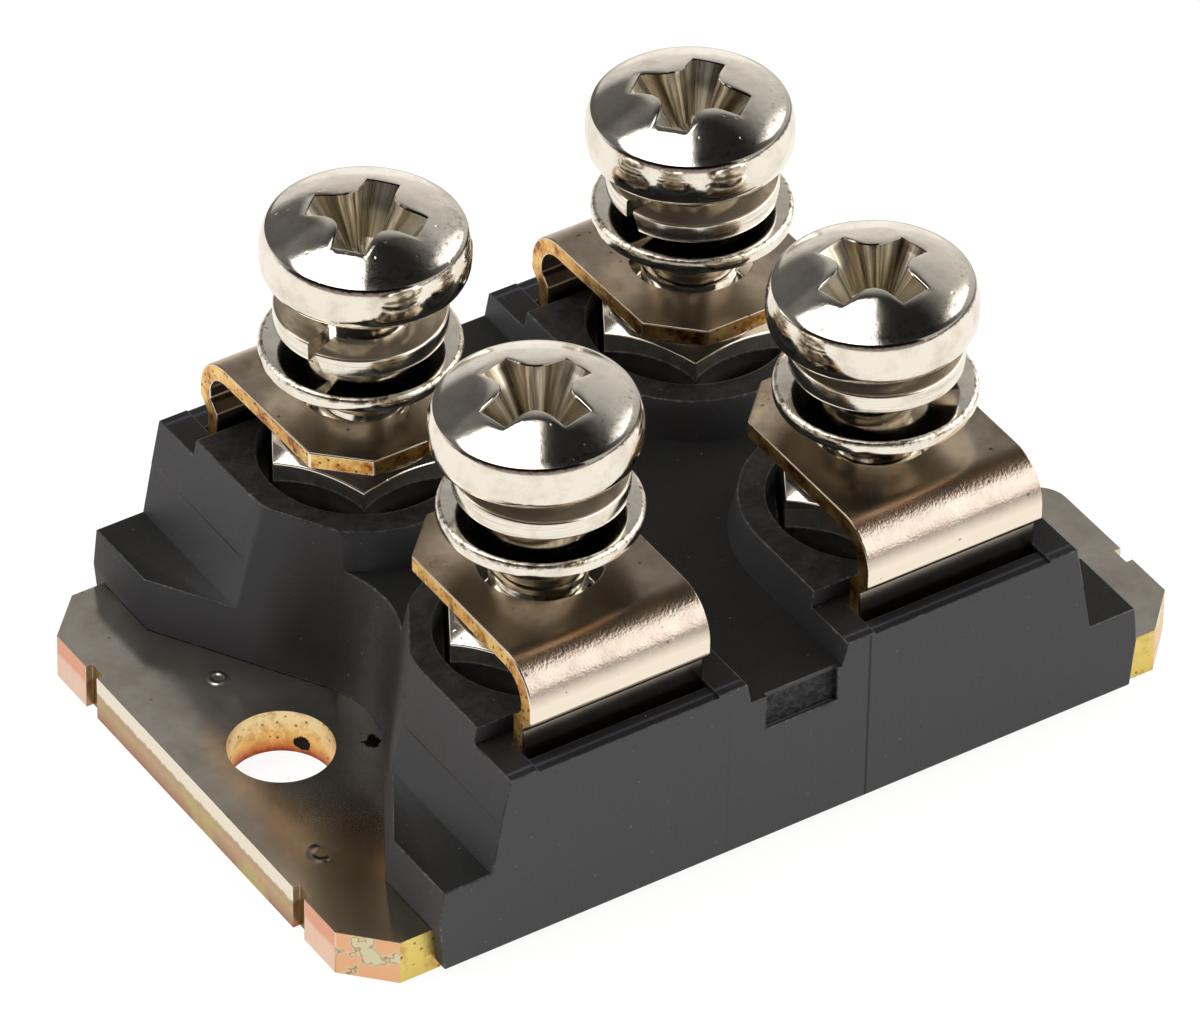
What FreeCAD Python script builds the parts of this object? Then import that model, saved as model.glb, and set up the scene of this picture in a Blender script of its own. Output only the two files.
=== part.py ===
import FreeCAD, Part
import math
import os

from FreeCAD import Vector

# Isolated power diode module: two diodes in one moulded block on a copper plate,
# with four bent-over screw terminals. Millimetres. Origin at the bottom centre of
# the plate, +X towards the open fixing slot, +Z up.

# Screw stations: distance between the axes, and from an axis to the moulding's edges
pitch_along = 15.1
pitch_across = 12.7
station_to_end = 8.35
station_to_side = 6.3

# Base plate
plate_thickness = 2.0
plate_beyond_housing = 3.1
plate_corner_along = 1.75
plate_corner_across = 1.8
tab_length = 2.2
notch_width = 0.8
notch_depth = 0.3
hole_radius = 2.1
hole_to_end = 3.9
slot_mouth_radius = 1.4

# Moulded housing
housing_skirt = 0.65
skirt_bottom = 0.4
parting_height = 2.6
end_draft = 0.2
step_height = 4.2
step_length = 2.27
valley_height = 7.4
tower_height = 9.1
tower_radius = 5.15
tower_draft = 0.2
post_height = 8.4
post_depth = 2.55
recess_radius = 3.9
recess_draft = 0.13
recess_flare = 31.5
gate_mark_width = 3.2
gate_mark_centre = 0.25
gate_mark_bottom = 5.8
gate_mark_depth = 0.25
cavity_gap_along = 0.4
cavity_gap_across = 0.4
cavity_wall = 1.5
cavity_top = 4.9

# Terminals: nickel-plated copper strip, bent over the nut at the top
strip_width = 8.0
strip_thickness = 0.75
bend_radius = 1.85
foot_radius = 0.9
foot_length = 4.4
leg_jog = 0.5
jog_bottom = 8.3
jog_below_top = 2.3
tab_reach = 4.5
tab_corner = 1.8
terminal_hole_radius = 2.45
ledge_groove_width = 0.3
ledge_groove_depth = 0.45
ledge_drop = 0.1

# Nuts, M4
nut_flats = 6.9
nut_height = 3.2
nut_chamfer = 0.42
nut_floor = 7.25
nut_gap = 0.1
pocket_radius = 4.05
pocket_floor = 8.1
tip_bore_radius = 2.3
tip_bore_bottom = 5.35

# Screws, M4 x 8 pan head with a cross recess and two captive washers
thread_radius = 1.97
thread_clearance = 0.05
neck_radius = 1.62
neck_length = 3.85
screw_length = 8.0
tip_chamfer = 0.4
head_radius = 3.95
head_wall = 2.15
head_dome = 1.0
head_under_radius = 3.55
head_edge = 0.12
dome_rings = 2
recess_top_radius = 2.45
recess_bottom_radius = 1.15
recess_arm_half = 0.52
recess_arm_taper = 0.3
recess_depth = 2.2

# Washers
flat_radius = 3.95
flat_thickness = 0.6
washer_hole_radius = 1.85
spring_radius = 3.38
spring_thickness = 0.85
spring_rise = 0.35
spring_gap = 8.0
spring_hole_radius = 2.05
spring_steps = 18

# Sealed circuit under the housing
backing_thickness = 0.3
ceramic_to_side = 2.95
ceramic_thickness = 0.63
copper_margin = 0.6
track_thickness = 0.3
track_gap = 1.2
track_split = 1.5
solder_thickness = 0.1
chip_side = 5.2
chip_thickness = 0.3
clip_width = 3.6
clip_thickness = 0.25
clip_loop = 0.45
clip_reach = 1.1
clip_foot = 0.8
clip_slant = 0.3

# Sizes that follow from these
housing_length = pitch_along + 2 * station_to_end
housing_width = pitch_across + 2 * station_to_side
plate_length = housing_length + 2 * plate_beyond_housing
plate_width = housing_width - 2 * housing_skirt
hole_from_centre = plate_length / 2 - hole_to_end
step_inner = housing_length / 2 - step_length
post_start = housing_width / 2 - post_depth
ceramic_length = 2 * (hole_from_centre - recess_radius - cavity_wall - cavity_gap_along)
ceramic_width = housing_width - 2 * ceramic_to_side
cavity_length = ceramic_length + 2 * cavity_gap_along
cavity_width = ceramic_width + 2 * cavity_gap_across
tab_inner = pitch_across / 2 - tab_reach

# Where each station sits and how far its loose screw stands out: side along X, side
# across Y, outer face of the strip behind the moulding's long side, top of the strip
# at the screw, slope of the tab in degrees; then, above the strip, the underside of the
# head and of the spring and flat washers; lift of the nut; turn of recess and split.
stations = {
    "front_left": dict(along=-1, across=-1, strip_inset=0.65, strip_top=12.45, tab_slope=0.0,
                       head_lift=5.15, spring_lift=3.4, flat_lift=2.26, nut_lift=0.0,
                       recess_turn=12.0, split_turn=75.0),
    "front_right": dict(along=1, across=-1, strip_inset=0.65, strip_top=12.5, tab_slope=0.0,
                        head_lift=4.75, spring_lift=2.9, flat_lift=1.59, nut_lift=0.45,
                        recess_turn=12.0, split_turn=-27.0),
    "rear_left": dict(along=-1, across=1, strip_inset=1.0, strip_top=12.3, tab_slope=1.8,
                      head_lift=5.3, spring_lift=2.85, flat_lift=1.64, nut_lift=0.0,
                      recess_turn=41.0, split_turn=-146.0),
    "rear_right": dict(along=1, across=1, strip_inset=1.1, strip_top=12.3, tab_slope=1.4,
                       head_lift=5.05, spring_lift=3.1, flat_lift=2.09, nut_lift=0.0,
                       recess_turn=38.0, split_turn=-160.0),
}

substrate_bottom = plate_thickness
ceramic_bottom = substrate_bottom + backing_thickness
track_bottom = ceramic_bottom + ceramic_thickness
track_top = track_bottom + track_thickness
chip_bottom = track_top + solder_thickness
chip_top = chip_bottom + chip_thickness
overrun = 1.0


def polygon(points):
    """Closed planar face through the points."""
    return Part.Face(Part.makePolygon(points + [points[0]]))


def block(low, high):
    """Box between two corners."""
    size = [b - a for a, b in zip(low, high)]
    return Part.makeBox(size[0], size[1], size[2], Vector(*low))


def station_axis(place):
    return place["along"] * pitch_along / 2, place["across"] * pitch_across / 2


def strip_face(place):
    """Distance from the middle plane to the outer face of a terminal."""
    return housing_width / 2 - place["strip_inset"]


def above_strip(place, lift):
    """Height of a piece that stands a stated distance above its terminal."""
    return place["strip_top"] + place[lift]


def export(name, shape):
    if not shape.isValid():
        raise ValueError(name + " is not a valid solid")
    shape.exportStep("parts/" + name + ".step")
    print(name, len(shape.Solids), "solid", round(shape.Volume, 3), "mm3")


def plate_outline():
    """One quarter of the plate's outline: end notch, sheared tab and cut corner."""
    end = plate_length / 2
    side = plate_width / 2
    tab_out = side - plate_corner_across
    tab_in = tab_out - tab_length
    notch_in = tab_in - notch_width
    return [
        (end, notch_in), (end - notch_depth, notch_in), (end - notch_depth, tab_in),
        (end, tab_in), (end, tab_out), (end - plate_corner_along, side),
    ]


def make_base_plate():
    quarter = plate_outline()
    points = [Vector(x, y, 0) for x, y in quarter]
    points += [Vector(-x, y, 0) for x, y in reversed(quarter)]
    points += [Vector(-x, -y, 0) for x, y in quarter]
    points += [Vector(x, -y, 0) for x, y in reversed(quarter)]
    plate = polygon(points).extrude(Vector(0, 0, plate_thickness))
    height = plate_thickness + 2 * overrun
    hole = Part.makeCylinder(hole_radius, height, Vector(-hole_from_centre, 0, -overrun))
    slot = Part.makeCylinder(hole_radius, height, Vector(hole_from_centre, 0, -overrun))
    mouth_start = plate_length / 2 - slot_mouth_radius
    slot = slot.fuse(block((hole_from_centre, -hole_radius, -overrun),
                           (plate_length / 2 + overrun, hole_radius, height - overrun)))
    for side in (-1, 1):
        inner = side * hole_radius
        outer = side * (hole_radius + slot_mouth_radius)
        low = min(inner, outer)
        high = max(inner, outer)
        corner = block((mouth_start, low, -overrun), (plate_length / 2 + overrun, high, height - overrun))
        round_off = Part.makeCylinder(slot_mouth_radius, height, Vector(mouth_start, outer, -overrun))
        slot = slot.fuse(corner.cut(round_off))
    return plate.cut([hole, slot]).removeSplitter()


def end_profile():
    """Section across the length: drafted end faces, corner steps and valley floor."""
    end = housing_length / 2
    slope_foot = step_inner - (valley_height - step_height) * end_draft
    half = [
        (end - (parting_height - skirt_bottom) * end_draft / 2, skirt_bottom),
        (end, parting_height), (end - (step_height - parting_height) * end_draft / 2, step_height),
        (step_inner, step_height), (slope_foot, valley_height),
    ]
    side = -housing_width / 2
    points = [Vector(x, side, z) for x, z in half]
    points += [Vector(-x, side, z) for x, z in reversed(half)]
    return polygon(points)


def make_tower(place):
    """One tower: a drafted round nose and a drafted block out to the long edge."""
    axis_x, axis_y = station_axis(place)
    across = place["across"]
    foot = valley_height - overrun
    wide = tower_radius + (tower_height - foot) * tower_draft
    nose = Part.makeCone(wide, tower_radius, tower_height - foot, Vector(axis_x, axis_y, foot))
    near, far = sorted((axis_y, across * housing_width / 2))
    profile = [(-wide, foot), (wide, foot), (tower_radius, tower_height), (-tower_radius, tower_height)]
    section = polygon([Vector(axis_x + x, near, z) for x, z in profile])
    return nose.fuse(section.extrude(Vector(0, far - near, 0)))


def flare_section(end_side, height):
    """Outline of the flared part of an end recess at a height, tangent to its cone."""
    radius = recess_radius + (height - plate_thickness) * recess_draft
    flare = math.radians(recess_flare)
    touch_x = hole_from_centre - radius * math.cos(flare)
    touch_y = radius * math.sin(flare)
    outer_x = plate_length / 2 + overrun
    outer_y = touch_y + (outer_x - touch_x) / math.tan(flare)
    points = [(outer_x, -outer_y), (touch_x, -touch_y), (touch_x, touch_y), (outer_x, outer_y)]
    return Part.makePolygon([Vector(end_side * x, y, height) for x, y in points + points[:1]])


def make_end_recess(end_side):
    """Room for the head of a fixing screw: a round bowl that opens out to the end."""
    top = tower_height + overrun
    rise = top - plate_thickness
    bowl = Part.makeCone(recess_radius, recess_radius + rise * recess_draft, rise,
                         Vector(end_side * hole_from_centre, 0, plate_thickness))
    sections = [flare_section(end_side, plate_thickness), flare_section(end_side, top)]
    return bowl.fuse(Part.makeLoft(sections, True, True))


def ledge_cut(place):
    """Sunk strip between the two posts in front of a terminal, with its groove."""
    axis_x = station_axis(place)[0]
    edge = housing_width / 2
    strip = strip_face(place) - leg_jog
    half = strip_width / 2
    shallow = post_height - ledge_drop
    deep = shallow - ledge_groove_depth
    profile = [
        (strip, deep), (strip + ledge_groove_width / 2, deep), (strip + ledge_groove_width, shallow),
        (edge + overrun, shallow), (edge + overrun, tower_height + overrun),
        (strip, tower_height + overrun),
    ]
    points = [Vector(axis_x - half, place["across"] * y, z) for y, z in profile]
    return polygon(points).extrude(Vector(strip_width, 0, 0))


def hexagon(axis_x, axis_y, flats, bottom, height):
    corner = flats / 2 / math.cos(math.pi / 6)
    points = []
    for i in range(6):
        angle = math.radians(60 * i)
        points.append(Vector(axis_x + corner * math.cos(angle), axis_y + corner * math.sin(angle), bottom))
    return polygon(points).extrude(Vector(0, 0, height))


def nut_pocket(place):
    axis_x, axis_y = station_axis(place)
    top = tower_height + overrun
    pocket = Part.makeCylinder(pocket_radius, top - pocket_floor, Vector(axis_x, axis_y, pocket_floor))
    seat = hexagon(axis_x, axis_y, nut_flats + 2 * nut_gap, nut_floor, top - nut_floor)
    seat = seat.common(Part.makeCylinder(nut_flats, pocket_floor - nut_floor + overrun / 2,
                                         Vector(axis_x, axis_y, nut_floor)))
    bottom = Vector(axis_x, axis_y, tip_bore_bottom)
    bore = Part.makeCylinder(tip_bore_radius, top - tip_bore_bottom, bottom)
    return pocket.fuse([seat, bore])


def strip_side(place, offset):
    """One side of a terminal's profile, offset outwards from its middle line.

    It runs along the foot, up the leg, out over the ledge, round the bend and along
    the tab. Points are (out, up), measured from the middle plane and the plate.
    """
    half = strip_thickness / 2
    upper = strip_face(place) - half
    leg = upper - leg_jog
    radius = bend_radius - half
    slope = math.radians(place["tab_slope"])
    foot_z = track_top + half
    axis_out = pitch_across / 2
    sweep = math.pi / 2 - slope
    bend_centre = upper - radius
    end_out = bend_centre + radius * math.cos(sweep)
    tab_z = place["strip_top"] - half / math.cos(slope)
    bend_z = tab_z - (end_out - axis_out) * math.tan(slope) - radius * math.sin(sweep)
    inner_z = tab_z + (axis_out - tab_inner) * math.tan(slope)
    jog_top = place["strip_top"] - jog_below_top
    mitre = math.tan(math.atan2(leg_jog, jog_top - jog_bottom) / 2)
    quarter = math.sqrt(0.5)
    foot_turn = foot_radius + offset
    turn = radius + offset
    foot_out = leg - foot_radius
    foot_up = foot_z + foot_radius

    def at(out, up):
        return Vector(station_axis(place)[0] - strip_width / 2, place["across"] * out, up)

    foot_start = at(strip_face(place) - foot_length, foot_z - offset)
    foot_end = at(foot_out, foot_z - offset)
    foot_mid = at(foot_out + foot_turn * quarter, foot_up - foot_turn * quarter)
    leg_start = at(leg + offset, foot_up)
    jog_start = at(leg + offset, jog_bottom - offset * mitre)
    jog_end = at(upper + offset, jog_top - offset * mitre)
    bend_start = at(upper + offset, bend_z)
    bend_mid = at(bend_centre + turn * math.cos(sweep / 2), bend_z + turn * math.sin(sweep / 2))
    bend_end = at(bend_centre + turn * math.cos(sweep), bend_z + turn * math.sin(sweep))
    tab_end = at(tab_inner + offset * math.sin(slope), inner_z + offset * math.cos(slope))
    edges = [
        Part.makeLine(foot_start, foot_end),
        Part.Arc(foot_end, foot_mid, leg_start).toShape(),
        Part.makeLine(leg_start, jog_start),
        Part.makeLine(jog_start, jog_end),
        Part.makeLine(jog_end, bend_start),
        Part.Arc(bend_start, bend_mid, bend_end).toShape(),
        Part.makeLine(bend_end, tab_end),
    ]
    return edges, foot_start, tab_end


def make_terminal(place):
    axis_x, axis_y = station_axis(place)
    across = place["across"]
    outer, outer_foot, outer_end = strip_side(place, strip_thickness / 2)
    inner, inner_foot, inner_end = strip_side(place, -strip_thickness / 2)
    ends = [Part.makeLine(outer_end, inner_end), Part.makeLine(inner_foot, outer_foot)]
    outline = Part.Wire(Part.__sortEdges__(outer + inner + ends))
    strip = Part.Face(outline).extrude(Vector(strip_width, 0, 0))
    low = pocket_floor
    high = place["strip_top"] + overrun
    strip = strip.cut(Part.makeCylinder(terminal_hole_radius, high - low, Vector(axis_x, axis_y, low)))
    for side in (-1, 1):
        edge = axis_x + side * strip_width / 2
        beyond = across * (tab_inner - overrun)
        reach = tab_corner + overrun
        corner = polygon([
            Vector(edge + side * overrun, beyond, low),
            Vector(edge - side * reach, beyond, low),
            Vector(edge + side * overrun, beyond + across * (reach + overrun), low),
        ]).extrude(Vector(0, 0, high - low))
        strip = strip.cut(corner)
    return strip


def gate_mark():
    """Shallow broken-out patch on the front face, under the middle channel."""
    front = -housing_width / 2
    half = gate_mark_width / 2
    return block((gate_mark_centre - half, front - overrun, gate_mark_bottom),
                 (gate_mark_centre + half, front + gate_mark_depth, valley_height + overrun))


def make_housing(terminals):
    body = end_profile().extrude(Vector(0, housing_width, 0))
    body = body.fuse([make_tower(place) for place in stations.values()])
    side = plate_width / 2
    end = plate_length / 2
    cuts = [block((-end, -side, skirt_bottom - overrun), (end, side, plate_thickness))]
    cuts += [make_end_recess(-1), make_end_recess(1)]
    for across in (-1, 1):
        near = across * post_start
        far = across * (housing_width / 2 + overrun)
        cuts.append(block((-housing_length / 2, min(near, far), post_height),
                          (housing_length / 2, max(near, far), tower_height + overrun)))
    for place in stations.values():
        cuts += [nut_pocket(place), ledge_cut(place)]
    cuts.append(gate_mark())
    cuts.append(block((-cavity_length / 2, -cavity_width / 2, plate_thickness - overrun / 2),
                      (cavity_length / 2, cavity_width / 2, cavity_top)))
    body = body.cut(cuts)
    return body.cut(terminals).removeSplitter()


def make_nut(place):
    """Hexagon nut, chamfered on top, with a bore for the screw."""
    axis_x, axis_y = station_axis(place)
    bottom = nut_floor + place["nut_lift"]
    base = Vector(axis_x, axis_y, bottom)
    corner = nut_flats / 2 / math.cos(math.pi / 6)
    nut = hexagon(axis_x, axis_y, nut_flats, bottom, nut_height)
    rim = corner - nut_chamfer * math.sqrt(3)
    shoulder = nut_height - nut_chamfer
    wide = corner + nut_chamfer
    taper = [(0, 0), (wide, 0), (wide, shoulder - nut_chamfer), (rim, nut_height), (0, nut_height)]
    rounded = polygon([Vector(r, 0, z) for r, z in taper]).revolve(Vector(0, 0, 0), Vector(0, 0, 1), 360)
    rounded.translate(base)
    bore = Part.makeCylinder(thread_radius + thread_clearance, nut_height, base)
    return nut.common(rounded).cut(bore)


def cross_section(height, reach, half):
    """Plus-shaped outline of the driver recess."""
    quadrant = [(reach, -half), (reach, half), (half, half)]
    points = []
    for turn in range(4):
        angle = turn * math.pi / 2
        for x, y in quadrant:
            points.append(Vector(x * math.cos(angle) - y * math.sin(angle),
                                 x * math.sin(angle) + y * math.cos(angle), height))
    return Part.makePolygon(points + [points[0]])


def screw_profile():
    """Half section of a screw about its axis, from the tip up to the crown of the head."""
    tip = -screw_length
    top = head_wall + head_dome
    waist = (head_under_radius + head_radius) / 2 + head_edge
    rim = head_radius - 2 * head_edge
    points = [
        (0, tip), (thread_radius - tip_chamfer, tip), (thread_radius, tip + tip_chamfer),
        (thread_radius, -neck_length), (neck_radius, thread_radius - neck_radius - neck_length),
        (neck_radius, 0), (head_under_radius, 0), (waist, head_wall / 2), (head_radius, head_wall),
    ]
    for ring in range(dome_rings + 1):
        share = 1 - ring / dome_rings
        points.append((rim * share, top - (head_dome - head_edge) * share ** 2))
    return points


def make_screw(place):
    axis_x, axis_y = station_axis(place)
    under = above_strip(place, "head_lift")
    profile = polygon([Vector(r, 0, z) for r, z in screw_profile()])
    screw = profile.revolve(Vector(0, 0, 0), Vector(0, 0, 1), 360)
    top = head_wall + head_dome
    bottom = top - recess_depth
    widening = (recess_top_radius - recess_bottom_radius) / recess_depth
    opening = recess_arm_taper / recess_depth
    low = cross_section(bottom, recess_bottom_radius, recess_arm_half - recess_arm_taper)
    reach = recess_top_radius + widening * overrun
    high = cross_section(top + overrun, reach, recess_arm_half + opening * overrun)
    screw = screw.cut(Part.makeLoft([low, high], True, True))
    screw.rotate(Vector(0, 0, 0), Vector(0, 0, 1), place["recess_turn"])
    screw.translate(Vector(axis_x, axis_y, under))
    return screw


def make_flat_washer(place):
    axis_x, axis_y = station_axis(place)
    base = Vector(axis_x, axis_y, above_strip(place, "flat_lift"))
    disc = Part.makeCylinder(flat_radius, flat_thickness, base)
    return disc.cut(Part.makeCylinder(washer_hole_radius, flat_thickness, base))


def make_spring_washer(place):
    """One split turn of flat wire that rises a little from end to end."""
    axis_x, axis_y = station_axis(place)
    sweep = 360 - spring_gap
    start = place["split_turn"] + spring_gap / 2
    corners = [(spring_hole_radius, 0), (spring_radius, 0), (spring_radius, spring_thickness),
               (spring_hole_radius, spring_thickness), (spring_hole_radius, 0)]
    sections = []
    for step in range(spring_steps + 1):
        share = step / spring_steps
        angle = math.radians(start + sweep * share)
        base = above_strip(place, "spring_lift") + spring_rise * share
        sections.append(Part.makePolygon([
            Vector(axis_x + r * math.cos(angle), axis_y + r * math.sin(angle), base + z) for r, z in corners
        ]))
    return Part.makeLoft(sections, True, True)


def make_substrate():
    half_x = ceramic_length / 2
    half_y = ceramic_width / 2
    inset = copper_margin
    backing = block((inset - half_x, inset - half_y, substrate_bottom),
                    (half_x - inset, half_y - inset, ceramic_bottom))
    ceramic = block((-half_x, -half_y, ceramic_bottom), (half_x, half_y, track_bottom))
    return backing, ceramic


def make_tracks():
    """Four copper pads on the ceramic: each diode has one under the chip and one beside it."""
    half_x = ceramic_length / 2 - copper_margin
    half_y = ceramic_width / 2 - copper_margin
    gap = track_gap / 2
    pads = []
    for side in (-1, 1):
        low_x, high_x = sorted((side * gap, side * half_x))
        pads.append(block((low_x, -half_y, track_bottom), (high_x, track_split - gap, track_top)))
        pads.append(block((low_x, track_split + gap, track_bottom), (high_x, half_y, track_top)))
    return Part.Compound(pads)


def chip_centre(side):
    return side * ceramic_length / 4, track_split - track_gap / 2 - copper_margin - chip_side / 2


def make_chip(side):
    x, y = chip_centre(side)
    half = chip_side / 2
    solder = block((x - half, y - half, track_top), (x + half, y + half, chip_bottom))
    chip = block((x - half, y - half, chip_bottom), (x + half, y + half, chip_top))
    return chip, solder


def make_contact_clip(side):
    """Bent copper strip from the top of a chip to the track beside it."""
    x, start = chip_centre(side)
    end = track_split + track_gap / 2 + clip_reach
    rise = chip_top + clip_loop
    bend = start + chip_side / 2 + clip_slant
    inner = [
        (end + clip_foot, track_top), (end, track_top), (end - clip_slant, rise), (bend, rise),
        (start + clip_foot, chip_top), (start - clip_foot, chip_top),
    ]
    outer = [
        (start - clip_foot, chip_top + clip_thickness), (start + clip_foot, chip_top + clip_thickness),
        (bend, rise + clip_thickness), (end - clip_slant, rise + clip_thickness),
        (end + clip_slant, track_top + clip_thickness), (end + clip_foot, track_top + clip_thickness),
    ]
    profile = polygon([Vector(x - clip_width / 2, y, z) for y, z in inner + outer])
    return profile.extrude(Vector(clip_width, 0, 0))


def main():
    os.makedirs("parts", exist_ok=True)
    terminals = {name: make_terminal(place) for name, place in stations.items()}
    export("base_plate", make_base_plate())
    export("housing", make_housing(list(terminals.values())))
    backing, ceramic = make_substrate()
    export("substrate_backing", backing)
    export("ceramic_substrate", ceramic)
    export("copper_tracks", make_tracks())
    for side, name in ((-1, "left"), (1, "right")):
        chip, solder = make_chip(side)
        export("diode_chip_" + name, chip)
        export("solder_layer_" + name, solder)
        export("contact_clip_" + name, make_contact_clip(side))
    for name, place in stations.items():
        export("terminal_" + name, terminals[name])
        export("nut_" + name, make_nut(place))
        export("screw_" + name, make_screw(place))
        export("spring_washer_" + name, make_spring_washer(place))
        export("flat_washer_" + name, make_flat_washer(place))


main()
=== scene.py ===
"""Visual model of an isolated power diode module: moulded block on a plated copper
plate, four bent-over terminals, four captive nuts and four loosened pan head screws."""

import math

import bmesh
import bpy
from bpy.props import FloatProperty, FloatVectorProperty, IntProperty, PointerProperty
from mathutils import Matrix, Vector


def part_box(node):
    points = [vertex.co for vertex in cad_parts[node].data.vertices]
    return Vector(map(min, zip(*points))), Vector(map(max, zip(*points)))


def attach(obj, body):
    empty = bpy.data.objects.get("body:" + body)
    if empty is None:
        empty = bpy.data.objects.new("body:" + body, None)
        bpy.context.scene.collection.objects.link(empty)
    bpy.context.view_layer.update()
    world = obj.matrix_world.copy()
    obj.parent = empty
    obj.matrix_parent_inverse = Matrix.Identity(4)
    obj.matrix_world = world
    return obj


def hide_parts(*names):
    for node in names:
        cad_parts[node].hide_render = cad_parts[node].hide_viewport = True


bl_info = {
    "name": "Diode Module",
    "version": (1, 0, 0),
    "blender": (4, 5, 0),
    "location": "3D View > Sidebar > Diode Module",
    "description": "Dresses the moulded block, base plate, terminals and screws of a power diode module",
    "category": "Add Mesh",
}

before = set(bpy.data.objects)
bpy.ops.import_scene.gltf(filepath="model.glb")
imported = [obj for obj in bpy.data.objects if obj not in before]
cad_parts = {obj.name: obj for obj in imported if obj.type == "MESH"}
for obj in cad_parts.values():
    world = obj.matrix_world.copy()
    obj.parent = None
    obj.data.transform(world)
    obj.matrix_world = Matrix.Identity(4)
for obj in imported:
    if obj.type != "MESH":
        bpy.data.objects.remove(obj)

MM = 0.001
STATIONS = ("front_left", "front_right", "rear_left", "rear_right")


def linear(red, green, blue):
    """Scene colour from the 0 to 255 values that a screen shows."""
    shown = [channel / 255 for channel in (red, green, blue)]
    return [c / 12.92 if c <= 0.04045 else ((c + 0.055) / 1.055) ** 2.4 for c in shown]


def length(name, default, description):
    """A size in metres, given here in millimetres."""
    return FloatProperty(name=name, description=description, default=default * MM, min=0.0,
                         precision=6, unit="LENGTH", subtype="DISTANCE")


def turn(name, default, description):
    """An angle, given here in degrees."""
    return FloatProperty(name=name, description=description, default=math.radians(default),
                         unit="ROTATION", subtype="ANGLE")


def tint(name, shown, description):
    """A colour, given here by the values a screen shows."""
    return FloatVectorProperty(name=name, description=description, default=linear(*shown),
                               min=0.0, max=1.0, size=3, subtype="COLOR")


class BlockSizes(bpy.types.PropertyGroup):
    """Moulded block and base plate."""

    edge_rounding: length("Edge rounding", 0.06, "Rounding of the moulded block's edges")
    plate_rounding: length("Plate rounding", 0.55, "Rolled edge of the plate's sheared end")
    hole_radius: length("Hole radius", 2.1, "Fixing hole and slot of the plate")
    hole_to_end: length("Hole to end", 3.9, "From the fixing hole's axis to the plate's end")
    mouth_radius: length("Mouth radius", 1.4, "Rounding of the slot's mouth")
    notch_from: length("Notch from", 7.2, "Near side of the notch beside a sheared tab")
    notch_to: length("Notch to", 8.0, "Far side of the notch beside a sheared tab")
    notch_depth: length("Notch depth", 0.3, "Depth of the notch")
    corner_along: length("Corner along", 1.75, "Cut corner, along the plate")
    corner_across: length("Corner across", 1.8, "Cut corner, across the plate")
    epoxy: tint("Epoxy", (17, 17, 18), "Moulding compound")
    dust: tint("Dust", (120, 118, 112), "Dust and wear on the moulding")
    plating: tint("Plating", (196, 192, 184), "Nickel on the plate")
    copper: tint("Copper", (224, 162, 134), "Bare sheared copper")


class TerminalSizes(bpy.types.PropertyGroup):
    """Bent copper strips."""

    strip_width: length("Strip width", 8.0, "Width of a terminal")
    thickness: length("Thickness", 0.75, "Thickness of the strip")
    bend_radius: length("Bend radius", 1.85, "Outer radius of the bend over the nut")
    foot_radius: length("Foot radius", 0.9, "Outer radius of the bend at the foot")
    foot_length: length("Foot length", 4.4, "Length of the foot inside the block")
    hole_radius: length("Hole radius", 2.45, "Clearance hole for the screw")
    corner: length("Corner", 1.8, "Cut corners of the tab")
    bend_steps: IntProperty(name="Bend steps", description="Facets round the bend", default=28, min=6)
    rear_left_slope: turn("Rear left slope", 1.8, "Rise of the rear left tab")
    rear_right_slope: turn("Rear right slope", 1.4, "Rise of the rear right tab")
    leg_jog: length("Leg jog", 0.5, "How far the leg steps in below the fold")
    jog_height: length("Jog height", 0.5, "Height of the step at the fold")
    jog_below_top: length("Jog below top", 2.3, "From the strip's top down to the end of the fold")
    plating: tint("Plating", (172, 161, 147), "Nickel on the strip")
    cut_edge: tint("Cut edge", (214, 160, 84), "Thinly plated cut edges")


class FastenerSizes(bpy.types.PropertyGroup):
    """Screws, nuts and washers."""

    head_radius: length("Head radius", 4.08, "Radius of the pan head")
    dome_radius: length("Dome radius", 3.85, "Radius of the domed top, inside the shoulder")
    dome_sphere: length("Dome sphere", 8.6, "Radius of the sphere that the dome is part of")
    head_height: length("Head height", 3.15, "From the underside to the crown")
    recess_reach: length("Recess reach", 2.22, "Reach of the recess arms at the top")
    recess_depth: length("Recess depth", 2.2, "Depth of the cross recess")
    neck_radius: length("Neck radius", 1.62, "Radius of the plain neck")
    neck_length: length("Neck length", 3.85, "Length of the plain neck")
    thread_radius: length("Thread radius", 1.97, "Crest radius of the thread")
    thread_pitch: length("Thread pitch", 0.7, "Pitch of the thread")
    thread_depth: length("Thread depth", 0.18, "Depth of the thread")
    screw_length: length("Screw length", 8.0, "From the underside of the head to the tip")
    nut_flats: length("Nut flats", 6.9, "Width across the flats of a nut")
    nut_chamfer: length("Nut chamfer", 0.42, "Height of the chamfer at the corners")
    spring_radius: length("Spring washer radius", 3.38, "Outer radius of a spring washer")
    spring_hole: length("Spring washer hole", 2.05, "Hole radius of a spring washer")
    spring_thickness: length("Spring washer thickness", 0.85, "Thickness of a spring washer")
    spring_gap: turn("Spring washer gap", 8.0, "Opening at the split")
    spring_slant: turn("Spring washer slant", 6.0, "Slant of the cut ends, seen from the axis")
    flat_radius: length("Flat washer radius", 3.95, "Outer radius of a flat washer")
    flat_hole: length("Flat washer hole", 1.85, "Hole radius of a flat washer")
    round_steps: IntProperty(name="Round steps", description="Facets round a washer", default=128, min=24)
    plating: tint("Plating", (236, 231, 221), "Bright nickel on screws, nuts and washers")
    # The skin also covers the spring washers' top faces, partly as painted light.
    draw_marks: tint("Draw marks", (176, 166, 150), "Brown-grey skin of the spring washers")


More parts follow.
